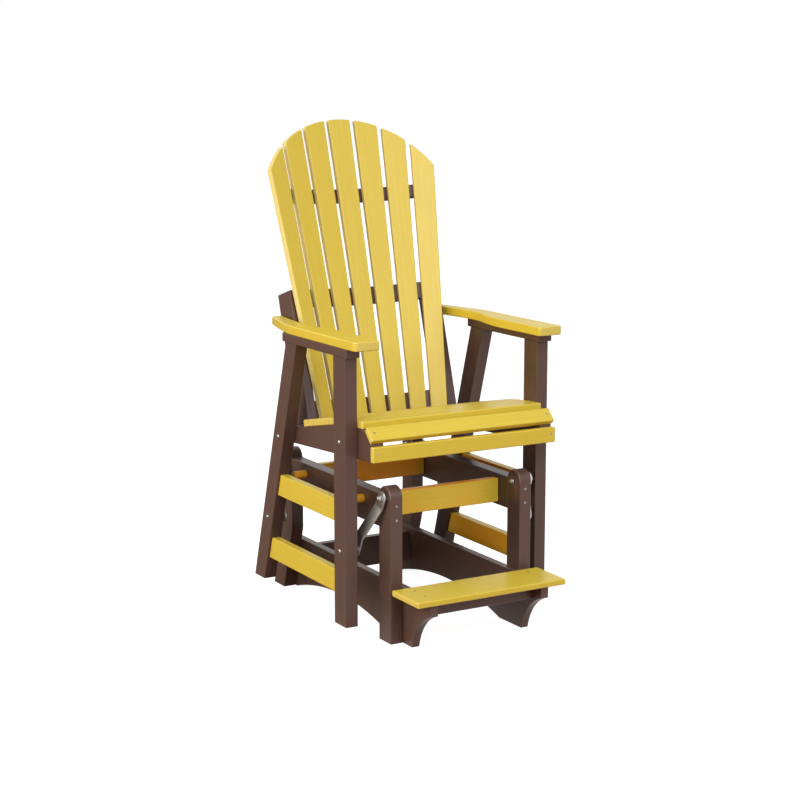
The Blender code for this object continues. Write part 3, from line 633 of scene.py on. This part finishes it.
@dataclass
class Board:
    """One board: its solid's shape with eased edges, grain along its length and its painted shade.

    Where its sides are sawn to a taper, they show the pale core colour as its ends do, and more of it:
    a painted highlight on the sides.
    """

    node: str
    body: str
    slot: str
    order: int
    shelter: Shelter
    # Scale on the openness: below one paints deeper shade, above one paints less.
    openness_scale: float = 1.0
    # Sides in the pale core colour: a painted highlight on the back slats' sides.
    pale_sides: bool = False
    cut_mm: float = 90.0
    end_deg: float = 25.0
    side_deg: float = 60.0
    end_core: float = 0.4
    crease_deg: float = 55.0
    edge_turn: tuple[float, float] = (25.0, 65.0)
    edge_wide_mm: float = 6.0
    corner_mm2: float = 12.0
    round_mm: float = 1.3
    inset: float = 0.2
    inset_across: float = 0.98
    shift: Place = (0.731, 0.193, 0.117)

    def mark_edges(self, bm: BMesh) -> None:
        """Mark the narrow faces that ease the board's edges, which hands and cloth rub and which get a
        painted highlight.

        Args:
            bm: The board's mesh.
        """
        layer = bm.faces.layers.float.new("eased_edge")
        least, most = self.edge_turn
        for face in bm.faces:
            longest = sorted(face.edges, key=lambda edge: -edge.calc_length())[:2]
            wide = face.calc_area() / max(longest[0].calc_length(), WELD)
            turns = [math.degrees(edge.calc_face_angle(0.0)) for edge in longest]
            strip = all(least < turn < most for turn in turns)
            corner = face.calc_area() < self.corner_mm2 * MM * MM
            face[layer] = 1.0 if wide < self.edge_wide_mm * MM and (strip or corner) else 0.0

    def cut(self, bm: BMesh, lead: Vector) -> None:
        """Cut the board's faces across its length, so that they can carry its painted shade.

        Args:
            bm: The board's mesh.
            lead: Its length direction.
        """
        places = [vert.co.dot(lead) for vert in bm.verts]
        low, high = min(places), max(places)
        count = max(int((high - low) / (self.cut_mm * MM)), 1)
        for i in range(1, count):
            spot = lead * (low + (high - low) * i / count)
            parts = bm.verts[:] + bm.edges[:] + bm.faces[:]
            bmesh.ops.bisect_plane(bm, geom=parts, plane_co=spot, plane_no=lead)

    def mark_openness(self, bm: BMesh, lead: Vector) -> None:
        """Mark how far the open reaches each corner of each face, which sets its painted shade.

        Args:
            bm: The board's mesh.
            lead: Its length direction.
        """
        layer = bm.loops.layers.float.new("openness")
        for face in bm.faces:
            centre = face.calc_center_median()
            for loop in face.loops:
                inward = centre - loop.vert.co
                inward -= lead * (inward.dot(lead) * self.inset_across)
                seen = self.shelter.at(loop.vert.co + inward * self.inset, face.normal)
                # The openness sets the painted shade of the board's colour.
                loop[layer] = min(seen * self.openness_scale, 1.0)

    def mark_core_faces(self, mesh: Mesh, rows: np.ndarray) -> None:
        """Mark the faces painted in the core colour: sawn ends, and on tapered boards their sides,
        where it is a painted highlight.

        Args:
            mesh: The board's mesh.
            rows: Its length, width and thickness directions.
        """
        end = math.cos(math.radians(self.end_deg))
        side = math.cos(math.radians(self.side_deg)) if self.pale_sides else -1.0
        turns = [np.abs(rows @ np.array(face.normal)) for face in mesh.polygons]
        flags = [1.0 if turn[2] < side else self.end_core if turn[0] > end else 0.0
                 for turn in turns]
        mesh.attributes.new("core_face", "FLOAT", "FACE").data.foreach_set("value", flags)

    def dress(self, material: Material) -> None:
        """Build the board's visible piece, which stands for its node.

        Args:
            material: The lumber finish.
        """
        bm = clean_mesh(self.node)
        self.mark_edges(bm)
        rows = board_axes(np.array([vert.co[:] for vert in bm.verts]))
        self.cut(bm, Vector(rows[0]))
        self.mark_openness(bm, Vector(rows[0]))
        item = finish_mesh(bm, self.node + "_board", material, self.crease_deg)
        centre = np.mean([vert.co[:] for vert in item.data.vertices], axis=0)
        write_grain(item, rows, np.array(self.shift) * self.order - rows @ centre)
        self.mark_core_faces(item.data, rows)
        ease_edges(item, self.round_mm, self.edge_turn[0])
        weighted = item.modifiers.new("soft_edges", "WEIGHTED_NORMAL")
        weighted.keep_sharp = True
        weighted.weight = 80
        settle(item, self.body, [self.node])


def pairs(*names: str) -> tuple[str, ...]:
    """Return the left and the right node of each name."""
    return tuple(f"{name}_{side.word}" for name in names for side in Side)


@dataclass
class LumberFrame:
    """Every board of the base and of the chair."""

    finishes: Finishes
    base_brown: tuple[str, ...] = (
        *pairs("front_post", "rear_post", "top_side_rail", "ground_rail"),
        "ground_cross_rail", "footrest_cross_rail")
    base_yellow: tuple[str, ...] = ("front_stretcher", "rear_stretcher", "footrest_board")
    chair_brown: tuple[str, ...] = (
        *pairs("front_leg", "rear_leg", "seat_rail", "arm_rail", "back_upright"),
        "back_rail_low", "back_rail_middle", "back_rail_top")
    chair_yellow: tuple[str, ...] = (
        *pairs("upper_stretcher", "lower_stretcher", "armrest"), "seat_apron", "seat_nose_slat",
        *(f"{name}_slat_{i}" for name in ("seat", "back") for i in range(1, 8)))
    openness_scale: tuple[tuple[str, float], ...] = (  # painted shade scale: arms painted lighter, stretchers deeper
        ("armrest_left", 1.6), ("armrest_right", 1.6),
        ("front_stretcher", 0.8), ("rear_stretcher", 0.9),
        ("lower_stretcher_left", 1.15), ("lower_stretcher_right", 1.15))

    def build(self) -> None:
        """Dress every board."""
        brown, yellow = self.finishes.brown, self.finishes.yellow
        groups = (
            (self.base_brown, "base", "brown_lumber", brown),
            (self.base_yellow, "base", "yellow_lumber", yellow),
            (self.chair_brown, "chair", "brown_lumber", brown),
            (self.chair_yellow, "chair", "yellow_lumber", yellow),
        )
        shelter = Shelter()
        openness_scale = dict(self.openness_scale)
        order = 0
        for nodes, body, slot, material in groups:
            for node in nodes:
                order += 1
                # Back slats get pale sides: a painted highlight.
                pale_sided = node.startswith("back_slat")
                board = Board(node, body, slot, order, shelter, openness_scale.get(node, 1.0), pale_sided)
                board.dress(material)


@dataclass
class Linkage:
    """Places of the pivots and of what stands on each bolt, in metres on the right side."""

    upper_z: float = 0.4082
    lower_z: float = 0.2548
    front_upper_y: float = -0.2514
    rear_upper_y: float = 0.3480
    front_lower_y: float = -0.1789
    rear_lower_y: float = 0.2755
    post_inner: float = 0.1909
    post_outer: float = 0.2290
    leg_inner: float = 0.2915
    leg_outer: float = 0.3296
    strap_upper: float = 0.2394
    strap_lower: float = 0.2778
    strap_thick: float = 0.0048


@dataclass
class SwingLinks:
    """The four formed straps, brushed, with their edges eased."""

    linkage: Linkage
    finishes: Finishes
    ease_mm: float = 0.8
    ease_turn: float = 50.0
    crease_deg: float = 30.0
    wider: float = 1.17
    longer: float = 1.4

    def build(self) -> None:
        """Build every link; the rear ones are the front ones turned end for end."""
        for side in Side:
            self.strap(side, "front", 1.0)
            self.strap(side, "rear", -1.0)

    def broaden(self, bm: BMesh) -> None:
        """Give the front strap its full width and the long round ends past its holes.

        Args:
            bm: The strap's mesh.
        """
        link = self.linkage
        top = Vector((0, link.front_upper_y, link.upper_z))
        foot = Vector((0, link.front_lower_y, link.lower_z))
        drop = (foot - top).normalized()
        over = Vector((1, 0, 0)).cross(drop)
        for vert in bm.verts:
            from_top = Vector((0, vert.co.y, vert.co.z)) - top
            along, across = from_top.dot(drop), from_top.dot(over)
            past = min(along, 0.0) + max(along - (foot - top).length, 0.0)
            vert.co += over * (across * (self.wider - 1)) + drop * (past * (self.longer - 1))

    def strap(self, side: Side, end: str, way: float) -> None:
        """Build one strap.

        Args:
            side: Side of the chair.
            end: "front" or "rear".
            way: 1 as the front strap lies, -1 mirrored about the middle of the linkage.
        """
        link = self.linkage
        bm = clean_mesh(f"front_link_{side.word}")
        self.broaden(bm)
        if way < 0:
            for vert in bm.verts:
                vert.co.y = link.front_upper_y + link.rear_upper_y - vert.co.y
            bmesh.ops.reverse_faces(bm, faces=bm.faces)
        body = f"{end}_link_{side.word}"
        item = finish_mesh(bm, f"{body}_strap", self.finishes.strap, self.crease_deg)
        ease_edges(item, self.ease_mm, self.ease_turn).harden_normals = True
        drop = Vector((0, way * (link.front_lower_y - link.front_upper_y),
                       link.lower_z - link.upper_z)).normalized()
        ahead = Vector((1, 0, 0))
        write_grain(item, np.array((drop, ahead.cross(drop), ahead)))
        settle(item, body, [body])


@dataclass
class Fasteners:
    """Bolts, lock nuts and spacers at the pivots, and the seat bolts' heads."""

    linkage: Linkage
    finishes: Finishes
    shank: float = 4.7 * MM
    thread_deep: float = 0.55 * MM
    thread_pitch: float = 1.4 * MM
    nut_corner: float = 8.6 * MM
    nut_tall: float = 7.9 * MM
    tip: float = 4.5 * MM
    seat_gap: float = 0.05 * MM
    spacer_radius: float = 9.8 * MM
    spacer_gap: float = 0.1 * MM
    spacer_ease: float = 0.5 * MM
    head_radius: float = 6.5 * MM
    head_tall: float = 3.7 * MM
    head_rim: float = 0.15  # upright share of a head's height
    head_flat: float = 0.42  # flat share of its radius
    drive_lobes: int = 6
    dome_steps: int = 7
    seat_bolt_front: tuple[float, float] = (-0.1789, 0.5601)
    seat_bolt_rear: tuple[float, float] = (0.1968, 0.5108)

    def build(self) -> None:
        """Build the hardware on both sides."""
        for side in Side:
            self.upper_pivots(side)
            self.lower_pivots(side)
            self.seat_bolts(side)

    def upper_pivots(self, side: Side) -> None:
        """Build the bolts in the posts' heads.

        Args:
            side: Side of the chair.
        """
        link = self.linkage
        outer = link.strap_upper + link.strap_thick / 2
        for end, y in (("front", link.front_upper_y), ("rear", link.rear_upper_y)):
            node = f"{end}_pivot_bolt_{side.word}"
            start = side.at(outer, y, link.upper_z)
            self.lock_nut(f"{node}_outer", start, side.out, "base")
            inside = side.at(link.post_inner, y, link.upper_z)
            self.lock_nut(f"{node}_inner", inside, -side.out, "base")
            self.spacer(f"{node}_spacer", side, (link.post_outer, outer - link.strap_thick),
                        (y, link.upper_z), "base", [node])

    def lower_pivots(self, side: Side) -> None:
        """Build the bolts in the legs' feet; the rear nuts ride on the rear links.

        Args:
            side: Side of the chair.
        """
        link = self.linkage
        inner = link.strap_lower - link.strap_thick / 2
        for end, y, body in (
                ("front", link.front_lower_y, "chair"),
                ("rear", link.rear_lower_y, f"rear_link_{side.word}")):
            node = f"{end}_leg_bolt_{side.word}"
            start = side.at(inner, y, link.lower_z)
            self.lock_nut(f"{node}_nut", start, -side.out, body)
            self.spacer(f"{node}_spacer", side, (inner + link.strap_thick, link.leg_inner),
                        (y, link.lower_z), body)
            place = side.at(link.leg_outer, y, link.lower_z)
            self.head(f"{node}_head", place, side.out, [node])

    def seat_bolts(self, side: Side) -> None:
        """Build the heads that hold the seat rails to the legs.

        Args:
            side: Side of the chair.
        """
        for end, (y, z) in (("front", self.seat_bolt_front), ("rear", self.seat_bolt_rear)):
            place = side.at(self.linkage.leg_outer, y, z)
            self.head(f"{end}_seat_bolt_{side.word}_head", place, side.out)

    def head(self, name: str, place: Vector, out: Vector, nodes: Iterable[str] = ()) -> None:
        """Build a low domed head with a lobed drive, seated on a board.

        Args:
            name: The piece's name.
            place: Centre of its seat.
            out: Direction that it faces.
            nodes: Nodes that it stands for.
        """
        radius, tall = self.head_radius, self.head_tall
        rows: list[Row] = [(-2.0 * MM, radius * 0.7), (0.0, radius * 0.98)]
        for i in range(1, self.dome_steps):
            turn = math.pi / 2 * i / self.dome_steps
            rows.append((tall * (self.head_rim + (1 - self.head_rim) * math.sin(turn)),
                         radius * (self.head_flat + (1 - self.head_flat) * math.cos(turn))))
        rows.append((tall, lobes(radius * 0.36, radius * 0.07, self.drive_lobes)))
        rows.append((tall - 1.5 * MM, lobes(radius * 0.31, radius * 0.06, self.drive_lobes)))
        rows.append((tall - 1.9 * MM, radius * 0.08))
        item = Turned(name, rows, place, out).build(self.finishes.bolt)
        settle(item, "chair", nodes)

    def lock_nut(self, name: str, seat: Vector, out: Vector, body: str) -> None:
        """Build a lock nut with its nylon ring, and the bolt's threaded end.

        Args:
            name: First part of the pieces' names.
            seat: Point on the bolt's axis on the face that the nut bears on.
            out: Direction from the face to the bolt's end.
            body: Body that they ride on.
        """
        corner, tall = self.nut_corner, self.nut_tall
        flat = corner * math.cos(math.pi / 6)
        base = self.seat_gap
        top = base + tall
        shoulder = base + tall * 0.68
        nut: list[Row] = [
            (base, hexagon(corner, flat * 0.98)),
            (base + 0.7 * MM, hexagon(corner, corner)),
            (shoulder - 0.7 * MM, hexagon(corner, corner)),
            (shoulder, hexagon(corner, flat * 0.97)),
            (shoulder + 0.4 * MM, flat * 0.90),
            (top - 0.5 * MM, flat * 0.88),
            (top, flat * 0.80),
            (top - 0.3 * MM, flat * 0.74)]
        item = Turned(f"{name}_nut", nut, seat, out, 48, 25.0).build(self.finishes.bolt)
        settle(item, body)
        ring: list[Row] = [
            (top - 1.2 * MM, flat * 0.72),
            (top - 0.15 * MM, flat * 0.72),
            (top + 0.05 * MM, flat * 0.68),
            (top - 0.1 * MM, self.shank + 0.15 * MM)]
        item = Turned(f"{name}_ring", ring, seat, out).build(self.finishes.nylon)
        settle(item, body)
        self.thread(f"{name}_end", seat, out, top - 1.5 * MM, top + self.tip, body)

    def thread(
        self, name: str, seat: Vector, out: Vector, low: float, high: float, body: str,
    ) -> None:
        """Build a bolt's threaded end.

        Args:
            name: The piece's name.
            seat: Point on the axis that distances are measured from.
            out: Direction to the bolt's end.
            low: Where the thread starts.
            high: Where the bolt ends.
            body: Body that it rides on.
        """
        rows: list[Row] = [(low, self.shank)]
        count = int((high - low - 0.8 * MM) / self.thread_pitch)
        for i in range(count):
            start = low + i * self.thread_pitch
            for share, deep in ((0.15, 0.0), (0.50, self.thread_deep), (0.85, 0.0)):
                rows.append((start + share * self.thread_pitch, self.shank - deep))
        rows.append((high - 0.7 * MM, self.shank))
        rows.append((high, self.shank - 0.7 * MM))
        settle(Turned(name, rows, seat, out, 28).build(self.finishes.bolt), body)

    def spacer(self, name: str, side: Side, reach: tuple[float, float],
               place: tuple[float, float], body: str, nodes: Iterable[str] = ()) -> None:
        """Build the turned spacer between a board and a strap.

        Args:
            name: The piece's name.
            side: Side of the chair.
            reach: Its two ends as distances from the middle plane.
            place: Y and Z of the bolt.
            body: Body that it rides on.
            nodes: Nodes that it stands for.
        """
        gap, ease, radius = self.spacer_gap, self.spacer_ease, self.spacer_radius
        start = side.at(reach[0] + gap, *place)
        long = reach[1] - reach[0] - 2 * gap
        rows: list[Row] = [
            (0.0, radius - ease), (ease, radius), (long - ease, radius), (long, radius - ease)]
        item = Turned(name, rows, start, side.out).build(self.finishes.strap)
        write_grain(item)
        settle(item, body, nodes)


@dataclass
class StopPegs:
    """The dowels that stand out of the top side rails."""

    finishes: Finishes
    radius: float = 12.1 * MM
    start: float = 0.2291
    end: float = 0.2694
    z: float = 0.3823
    front_y: float = -0.1269
    rear_y: float = 0.2240
    ease: float = 1.4 * MM
    # Painted shade: one low openness for the whole peg paints it in the deep shade colour.
    openness: float = 0.30

    def build(self) -> None:
        """Build both pegs on both sides."""
        long = self.end - self.start
        rows: list[Row] = [(0.0, self.radius)]
        for left, off in ((1.0, 0.0), (0.3, 0.3), (0.0, 1.0)):
            rows.append((long - left * self.ease, self.radius - off * self.ease))
        for side in Side:
            for end, y in (("front", self.front_y), ("rear", self.rear_y)):
                place = side.at(self.start, y, self.z)
                peg = Turned(f"{end}_peg_{side.word}", rows, place, side.out)
                item = peg.build(self.finishes.yellow)
                write_grain(item)
                mesh = item.data
                openness_attr = mesh.attributes.new("openness", "FLOAT", "POINT")
                openness_attr.data.foreach_set("value", [self.openness] * len(mesh.vertices))
                mesh.attributes.new("core_face", "FLOAT", "FACE")
                settle(item, "base")


@dataclass
class Screws:
    """Small flat-headed screws, let in flush, where boards are fixed from outside."""

    finishes: Finishes
    radius: float = 3.4 * MM
    proud: float = 0.25 * MM
    post_x: float = 0.2096
    post_z: tuple[float, float] = (0.3480, 0.3881)
    front_face_y: float = -0.28395
    rear_face_y: float = 0.38055
    footrest: tuple[tuple[float, float], ...] = ((0.186, -0.3412), (0.186, -0.3969))
    footrest_z: float = 0.1624
    apron: Place = (0.2791, -0.3061, 0.5433)
    nose: Place = (0.2782, -0.2843, 0.5983)
    nose_out: Place = (0.0, -0.7103, 0.7039)
    arm: Place = (0.2940, 0.2951, 0.8310)
    arm_out: Place = (0.970, 0.2431, 0.0)
    slats: int = 7
    rails: tuple[str, ...] = ("back_rail_low", "back_rail_middle", "back_rail_top")
    search_steps: int = 40
    search_step: float = 2.0 * MM
    search_from: float = 0.15
    search_reach: float = 0.2
    facing: float = 0.8
    count: int = 0

    def behind_slats(self) -> None:
        """Build the screws that go through the back rails into each slat."""
        for rail in self.rails:
            bm = bmesh.new()
            bm.from_mesh(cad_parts[rail].data)
            tree = BVHTree.FromBMesh(bm)
            bm.free()
            low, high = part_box(rail)
            for i in range(1, self.slats + 1):
                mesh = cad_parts[f"back_slat_{i}"].data
                points = np.array([vert.co[:] for vert in mesh.vertices])
                rows = board_axes(points)
                lead, back = Vector(rows[0]), Vector(rows[2])
                back = back if back.y > 0 else -back
                lead = lead if lead.z > 0 else -lead
                centre = Vector(points.mean(axis=0))
                hits = []
                for step in range(-self.search_steps, self.search_steps + 1):
                    height = (low[2] + high[2]) / 2 + step * self.search_step
                    start = centre + lead * ((height - centre.z) / lead.z)
                    spot, normal, _, _ = tree.ray_cast(
                        start + back * self.search_from, -back, self.search_reach)
                    if spot is not None and normal.dot(back) > self.facing:
                        hits.append((spot, normal))
                if hits:
                    spot, normal = hits[len(hits) // 2]
                    self.screw("chair", spot, normal)

    def build(self) -> None:
        """Build every screw that shows."""
        for side in Side:
            for z in self.post_z:
                for y, out in ((self.front_face_y, (0, -1, 0)), (self.rear_face_y, (0, 1, 0))):
                    self.screw("base", side.at(self.post_x, y, z), Vector(out))
            for x, y in self.footrest:
                self.screw("base", side.at(x, y, self.footrest_z), Vector((0, 0, 1)))
            for place, out in (
                    (self.apron, (0, -1, 0)), (self.nose, self.nose_out), (self.arm, self.arm_out)):
                self.screw("chair", side.at(*place), side.at(*out))
        self.behind_slats()

    def screw(self, body: str, place: Vector, out: Vector) -> None:
        """Build one screw head.

        Args:
            body: Body that it rides on.
            place: Centre of the head on the board's face.
            out: Direction that it faces.
        """
        self.count += 1
        radius, proud = self.radius, self.proud
        rows: list[Row] = [
            (-1.5 * MM, radius * 0.5), (proud - 0.2 * MM, radius),
            (proud, radius - 0.25 * MM),
            (proud, lobes(radius * 0.42, radius * 0.09, 6)),
            (proud - 1.1 * MM, lobes(radius * 0.34, radius * 0.07, 6)),
            (proud - 1.3 * MM, radius * 0.1)]
        item = Turned(f"screw_{self.count}", rows, place, out, 36, 30.0)
        settle(item.build(self.finishes.screw), body)


@dataclass
class PhotoCamera:
    """The camera at the photograph's angle."""

    place: Place = (-2.55472, -4.37493, 1.53456)
    turn: float = 0.52235142
    dip: float = 0.17887080
    lens: float = 80.3736
    sensor: float = 36.0

    def build(self) -> None:
        """Add the camera and make it the scene's own."""
        data = bpy.data.cameras.new("view")
        data.lens = self.lens
        data.sensor_width = self.sensor
        ahead = Vector((math.sin(self.turn) * math.cos(self.dip),
                        math.cos(self.turn) * math.cos(self.dip), -math.sin(self.dip)))
        right = Vector((math.cos(self.turn), -math.sin(self.turn), 0))
        up = right.cross(ahead)
        item = bpy.data.objects.new("view", data)
        turned = Matrix((right, up, -ahead)).transposed().to_4x4()
        item.matrix_world = Matrix.Translation(self.place) @ turned
        bpy.context.collection.objects.link(item)
        bpy.context.scene.camera = item


@dataclass(frozen=True)
class Lamp:
    """One square soft panel."""

    name: str
    place: Place
    size: float
    power: float
    tint: str


@dataclass
class Studio:
    """White room: a pale floor that keeps the shadow, an even sky and five soft panels."""

    floor_half: float = 30.0
    floor_hex: str = "#BCBCBC"
    floor_warm_hex: str = "#8C5E30"
    floor_lift: float = 0.87
    floor_lift_mirrored: float = 0.86
    floor_white_mirrored: float = 0.5
    floor_drop: float = 0.5 * MM
    pool_along: Place = (0.469, -0.883, 0.0)
    pool_from: float = -0.3
    pool_to: float = 0.5
    sky_low: float = 0.23
    sky_high: float = 0.57
    sky_from: float = -0.1
    sky_to: float = 0.9
    aim: Place = (0.0, 0.0, 0.7)
    lamps: tuple[Lamp, ...] = (
        Lamp("left_panel", (-4.9, 0.9, 1.6), 3.0, 128.0, "#FFFDE6"),
        Lamp("front_panel", (-1.0, -4.3, 3.2), 2.2, 90.0, "#EBF2FF"),
        Lamp("side_panel", (-3.924, -2.266, 2.813), 2.2, 62.0, "#FAFDFF"),
        Lamp("right_panel", (1.915, -4.107, 2.813), 2.2, 29.0, "#E6F0FF"),
        Lamp("high_panel", (-1.607, -2.783, 4.53), 2.2, 33.0, "#E6F0FF"),
    )

    def build(self) -> None:
        """Build the floor, the sky and the lamps."""
        bpy.context.scene.view_settings.view_transform = "Standard"
        self.floor()
        self.sky()
        for lamp in self.lamps:
            self.hang(lamp)

    def shown(self, tree: NodeTree) -> NodeSocket:
        """Add the test for rays that look at the background, straight or in a reflection.

        Args:
            tree: The tree that gets the nodes.

        Returns:
            One for camera, glossy and transmission rays, and zero for the light itself.
        """
        rays = add_node(tree, "LightPath")
        mirrored = add_node(
            tree, "Math", {"operation": "MAXIMUM"},
            {0: rays.outputs["Is Glossy Ray"], 1: rays.outputs["Is Transmission Ray"]})
        seen = add_node(
            tree, "Math", {"operation": "MAXIMUM"}, {0: rays.outputs["Is Camera Ray"], 1: mirrored})
        return seen.outputs[0]

    def floor(self) -> None:
        """Lay the floor: white paper to the eye, tan to the light it returns.

        Reflections see it half way between the two, glowing as a painted pool of light that grows
        brighter towards the front right.
        """
        material, tree, shader = new_material("studio_floor_paper")
        seen = self.shown(tree)
        straight = add_node(tree, "LightPath").outputs["Is Camera Ray"]
        white = add_node(
            tree, "Mix", {"data_type": "FLOAT"}, {0: self.floor_white_mirrored, 2: seen, 3: straight})
        colour = add_node(
            tree, "Mix", {"data_type": "RGBA"}, {0: white, 6: self.floor_warm_hex, 7: self.floor_hex})
        tree.links.new(colour.outputs[2], shader.inputs["Base Color"])
        shader.inputs["Roughness"].default_value = 1.0
        shader.inputs["Specular IOR Level"].default_value = 0.0
        # Painted pool of light: in reflections the floor glows, from nothing at the back left to bright
        # at the front right.
        place = add_node(tree, "NewGeometry").outputs["Position"]
        ahead = add_node(
            tree, "VectorMath", {"operation": "DOT_PRODUCT"}, {0: place, 1: self.pool_along})
        light_pool = add_node(
            tree, "MapRange", {},
            {"Value": ahead.outputs["Value"], "From Min": self.pool_from,
             "From Max": self.pool_to, "To Min": 0.0, "To Max": self.floor_lift_mirrored})
        level = add_node(
            tree, "Mix", {"data_type": "FLOAT"}, {0: straight, 2: light_pool, 3: self.floor_lift})
        lift = add_node(tree, "Math", {"operation": "MULTIPLY"}, {0: level, 1: seen})
        glow = add_node(tree, "Emission", {}, {"Strength": lift})
        both = add_node(tree, "AddShader", {}, {0: shader, 1: glow})
        tree.links.new(both.outputs[0], tree.nodes["Material Output"].inputs["Surface"])
        bm = bmesh.new()
        half = self.floor_half
        corners = [bm.verts.new((x * half, y * half, 0)) for x, y in (
            (-1, -1), (1, -1), (1, 1), (-1, 1))]
        bm.faces.new(corners)
        item = finish_mesh(bm, "studio_floor", material, 30.0)
        item.location.z = -self.floor_drop

    def sky(self) -> None:
        """Surround the chair with white, whose light is a little stronger overhead."""
        world = bpy.data.worlds.new("studio_sky")
        world.use_nodes = True
        tree = world.node_tree
        ground = tree.nodes["Background"]
        place = add_node(tree, "TexCoord").outputs["Generated"]
        split = add_node(tree, "SeparateXYZ", {}, {"Vector": place})
        level = add_node(
            tree, "MapRange", {},
            {"Value": split.outputs["Z"], "From Min": self.sky_from, "From Max": self.sky_to,
             "To Min": self.sky_low, "To Max": self.sky_high})
        strength = add_node(
            tree, "Mix", {"data_type": "FLOAT"}, {0: self.shown(tree), 2: level, 3: 1.0})
        tree.links.new(strength.outputs[0], ground.inputs["Strength"])
        ground.inputs["Color"].default_value = (1, 1, 1, 1)
        bpy.context.scene.world = world

    def hang(self, lamp: Lamp) -> None:
        """Hang one soft panel and turn it to the chair.

        Args:
            lamp: The panel.
        """
        data = bpy.data.lights.new(lamp.name, "AREA")
        data.shape = "SQUARE"
        data.size = lamp.size
        data.energy = lamp.power
        data.color = hex_linear(lamp.tint)[:3]
        item = bpy.data.objects.new(lamp.name, data)
        item.location = lamp.place
        away = Vector(lamp.place) - Vector(self.aim)
        item.rotation_euler = away.to_track_quat("Z", "Y").to_euler()
        bpy.context.collection.objects.link(item)


def main() -> None:
    """Build the dressed chair, its studio and its camera."""
    logging.basicConfig(level=logging.INFO, format="%(message)s")
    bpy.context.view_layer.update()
    finishes = Finishes()
    linkage = Linkage()
    LumberFrame(finishes).build()
    SwingLinks(linkage, finishes).build()
    Fasteners(linkage, finishes).build()
    StopPegs(finishes).build()
    Screws(finishes).build()
    Studio().build()
    PhotoCamera().build()


if __name__ == "__main__":
    main()
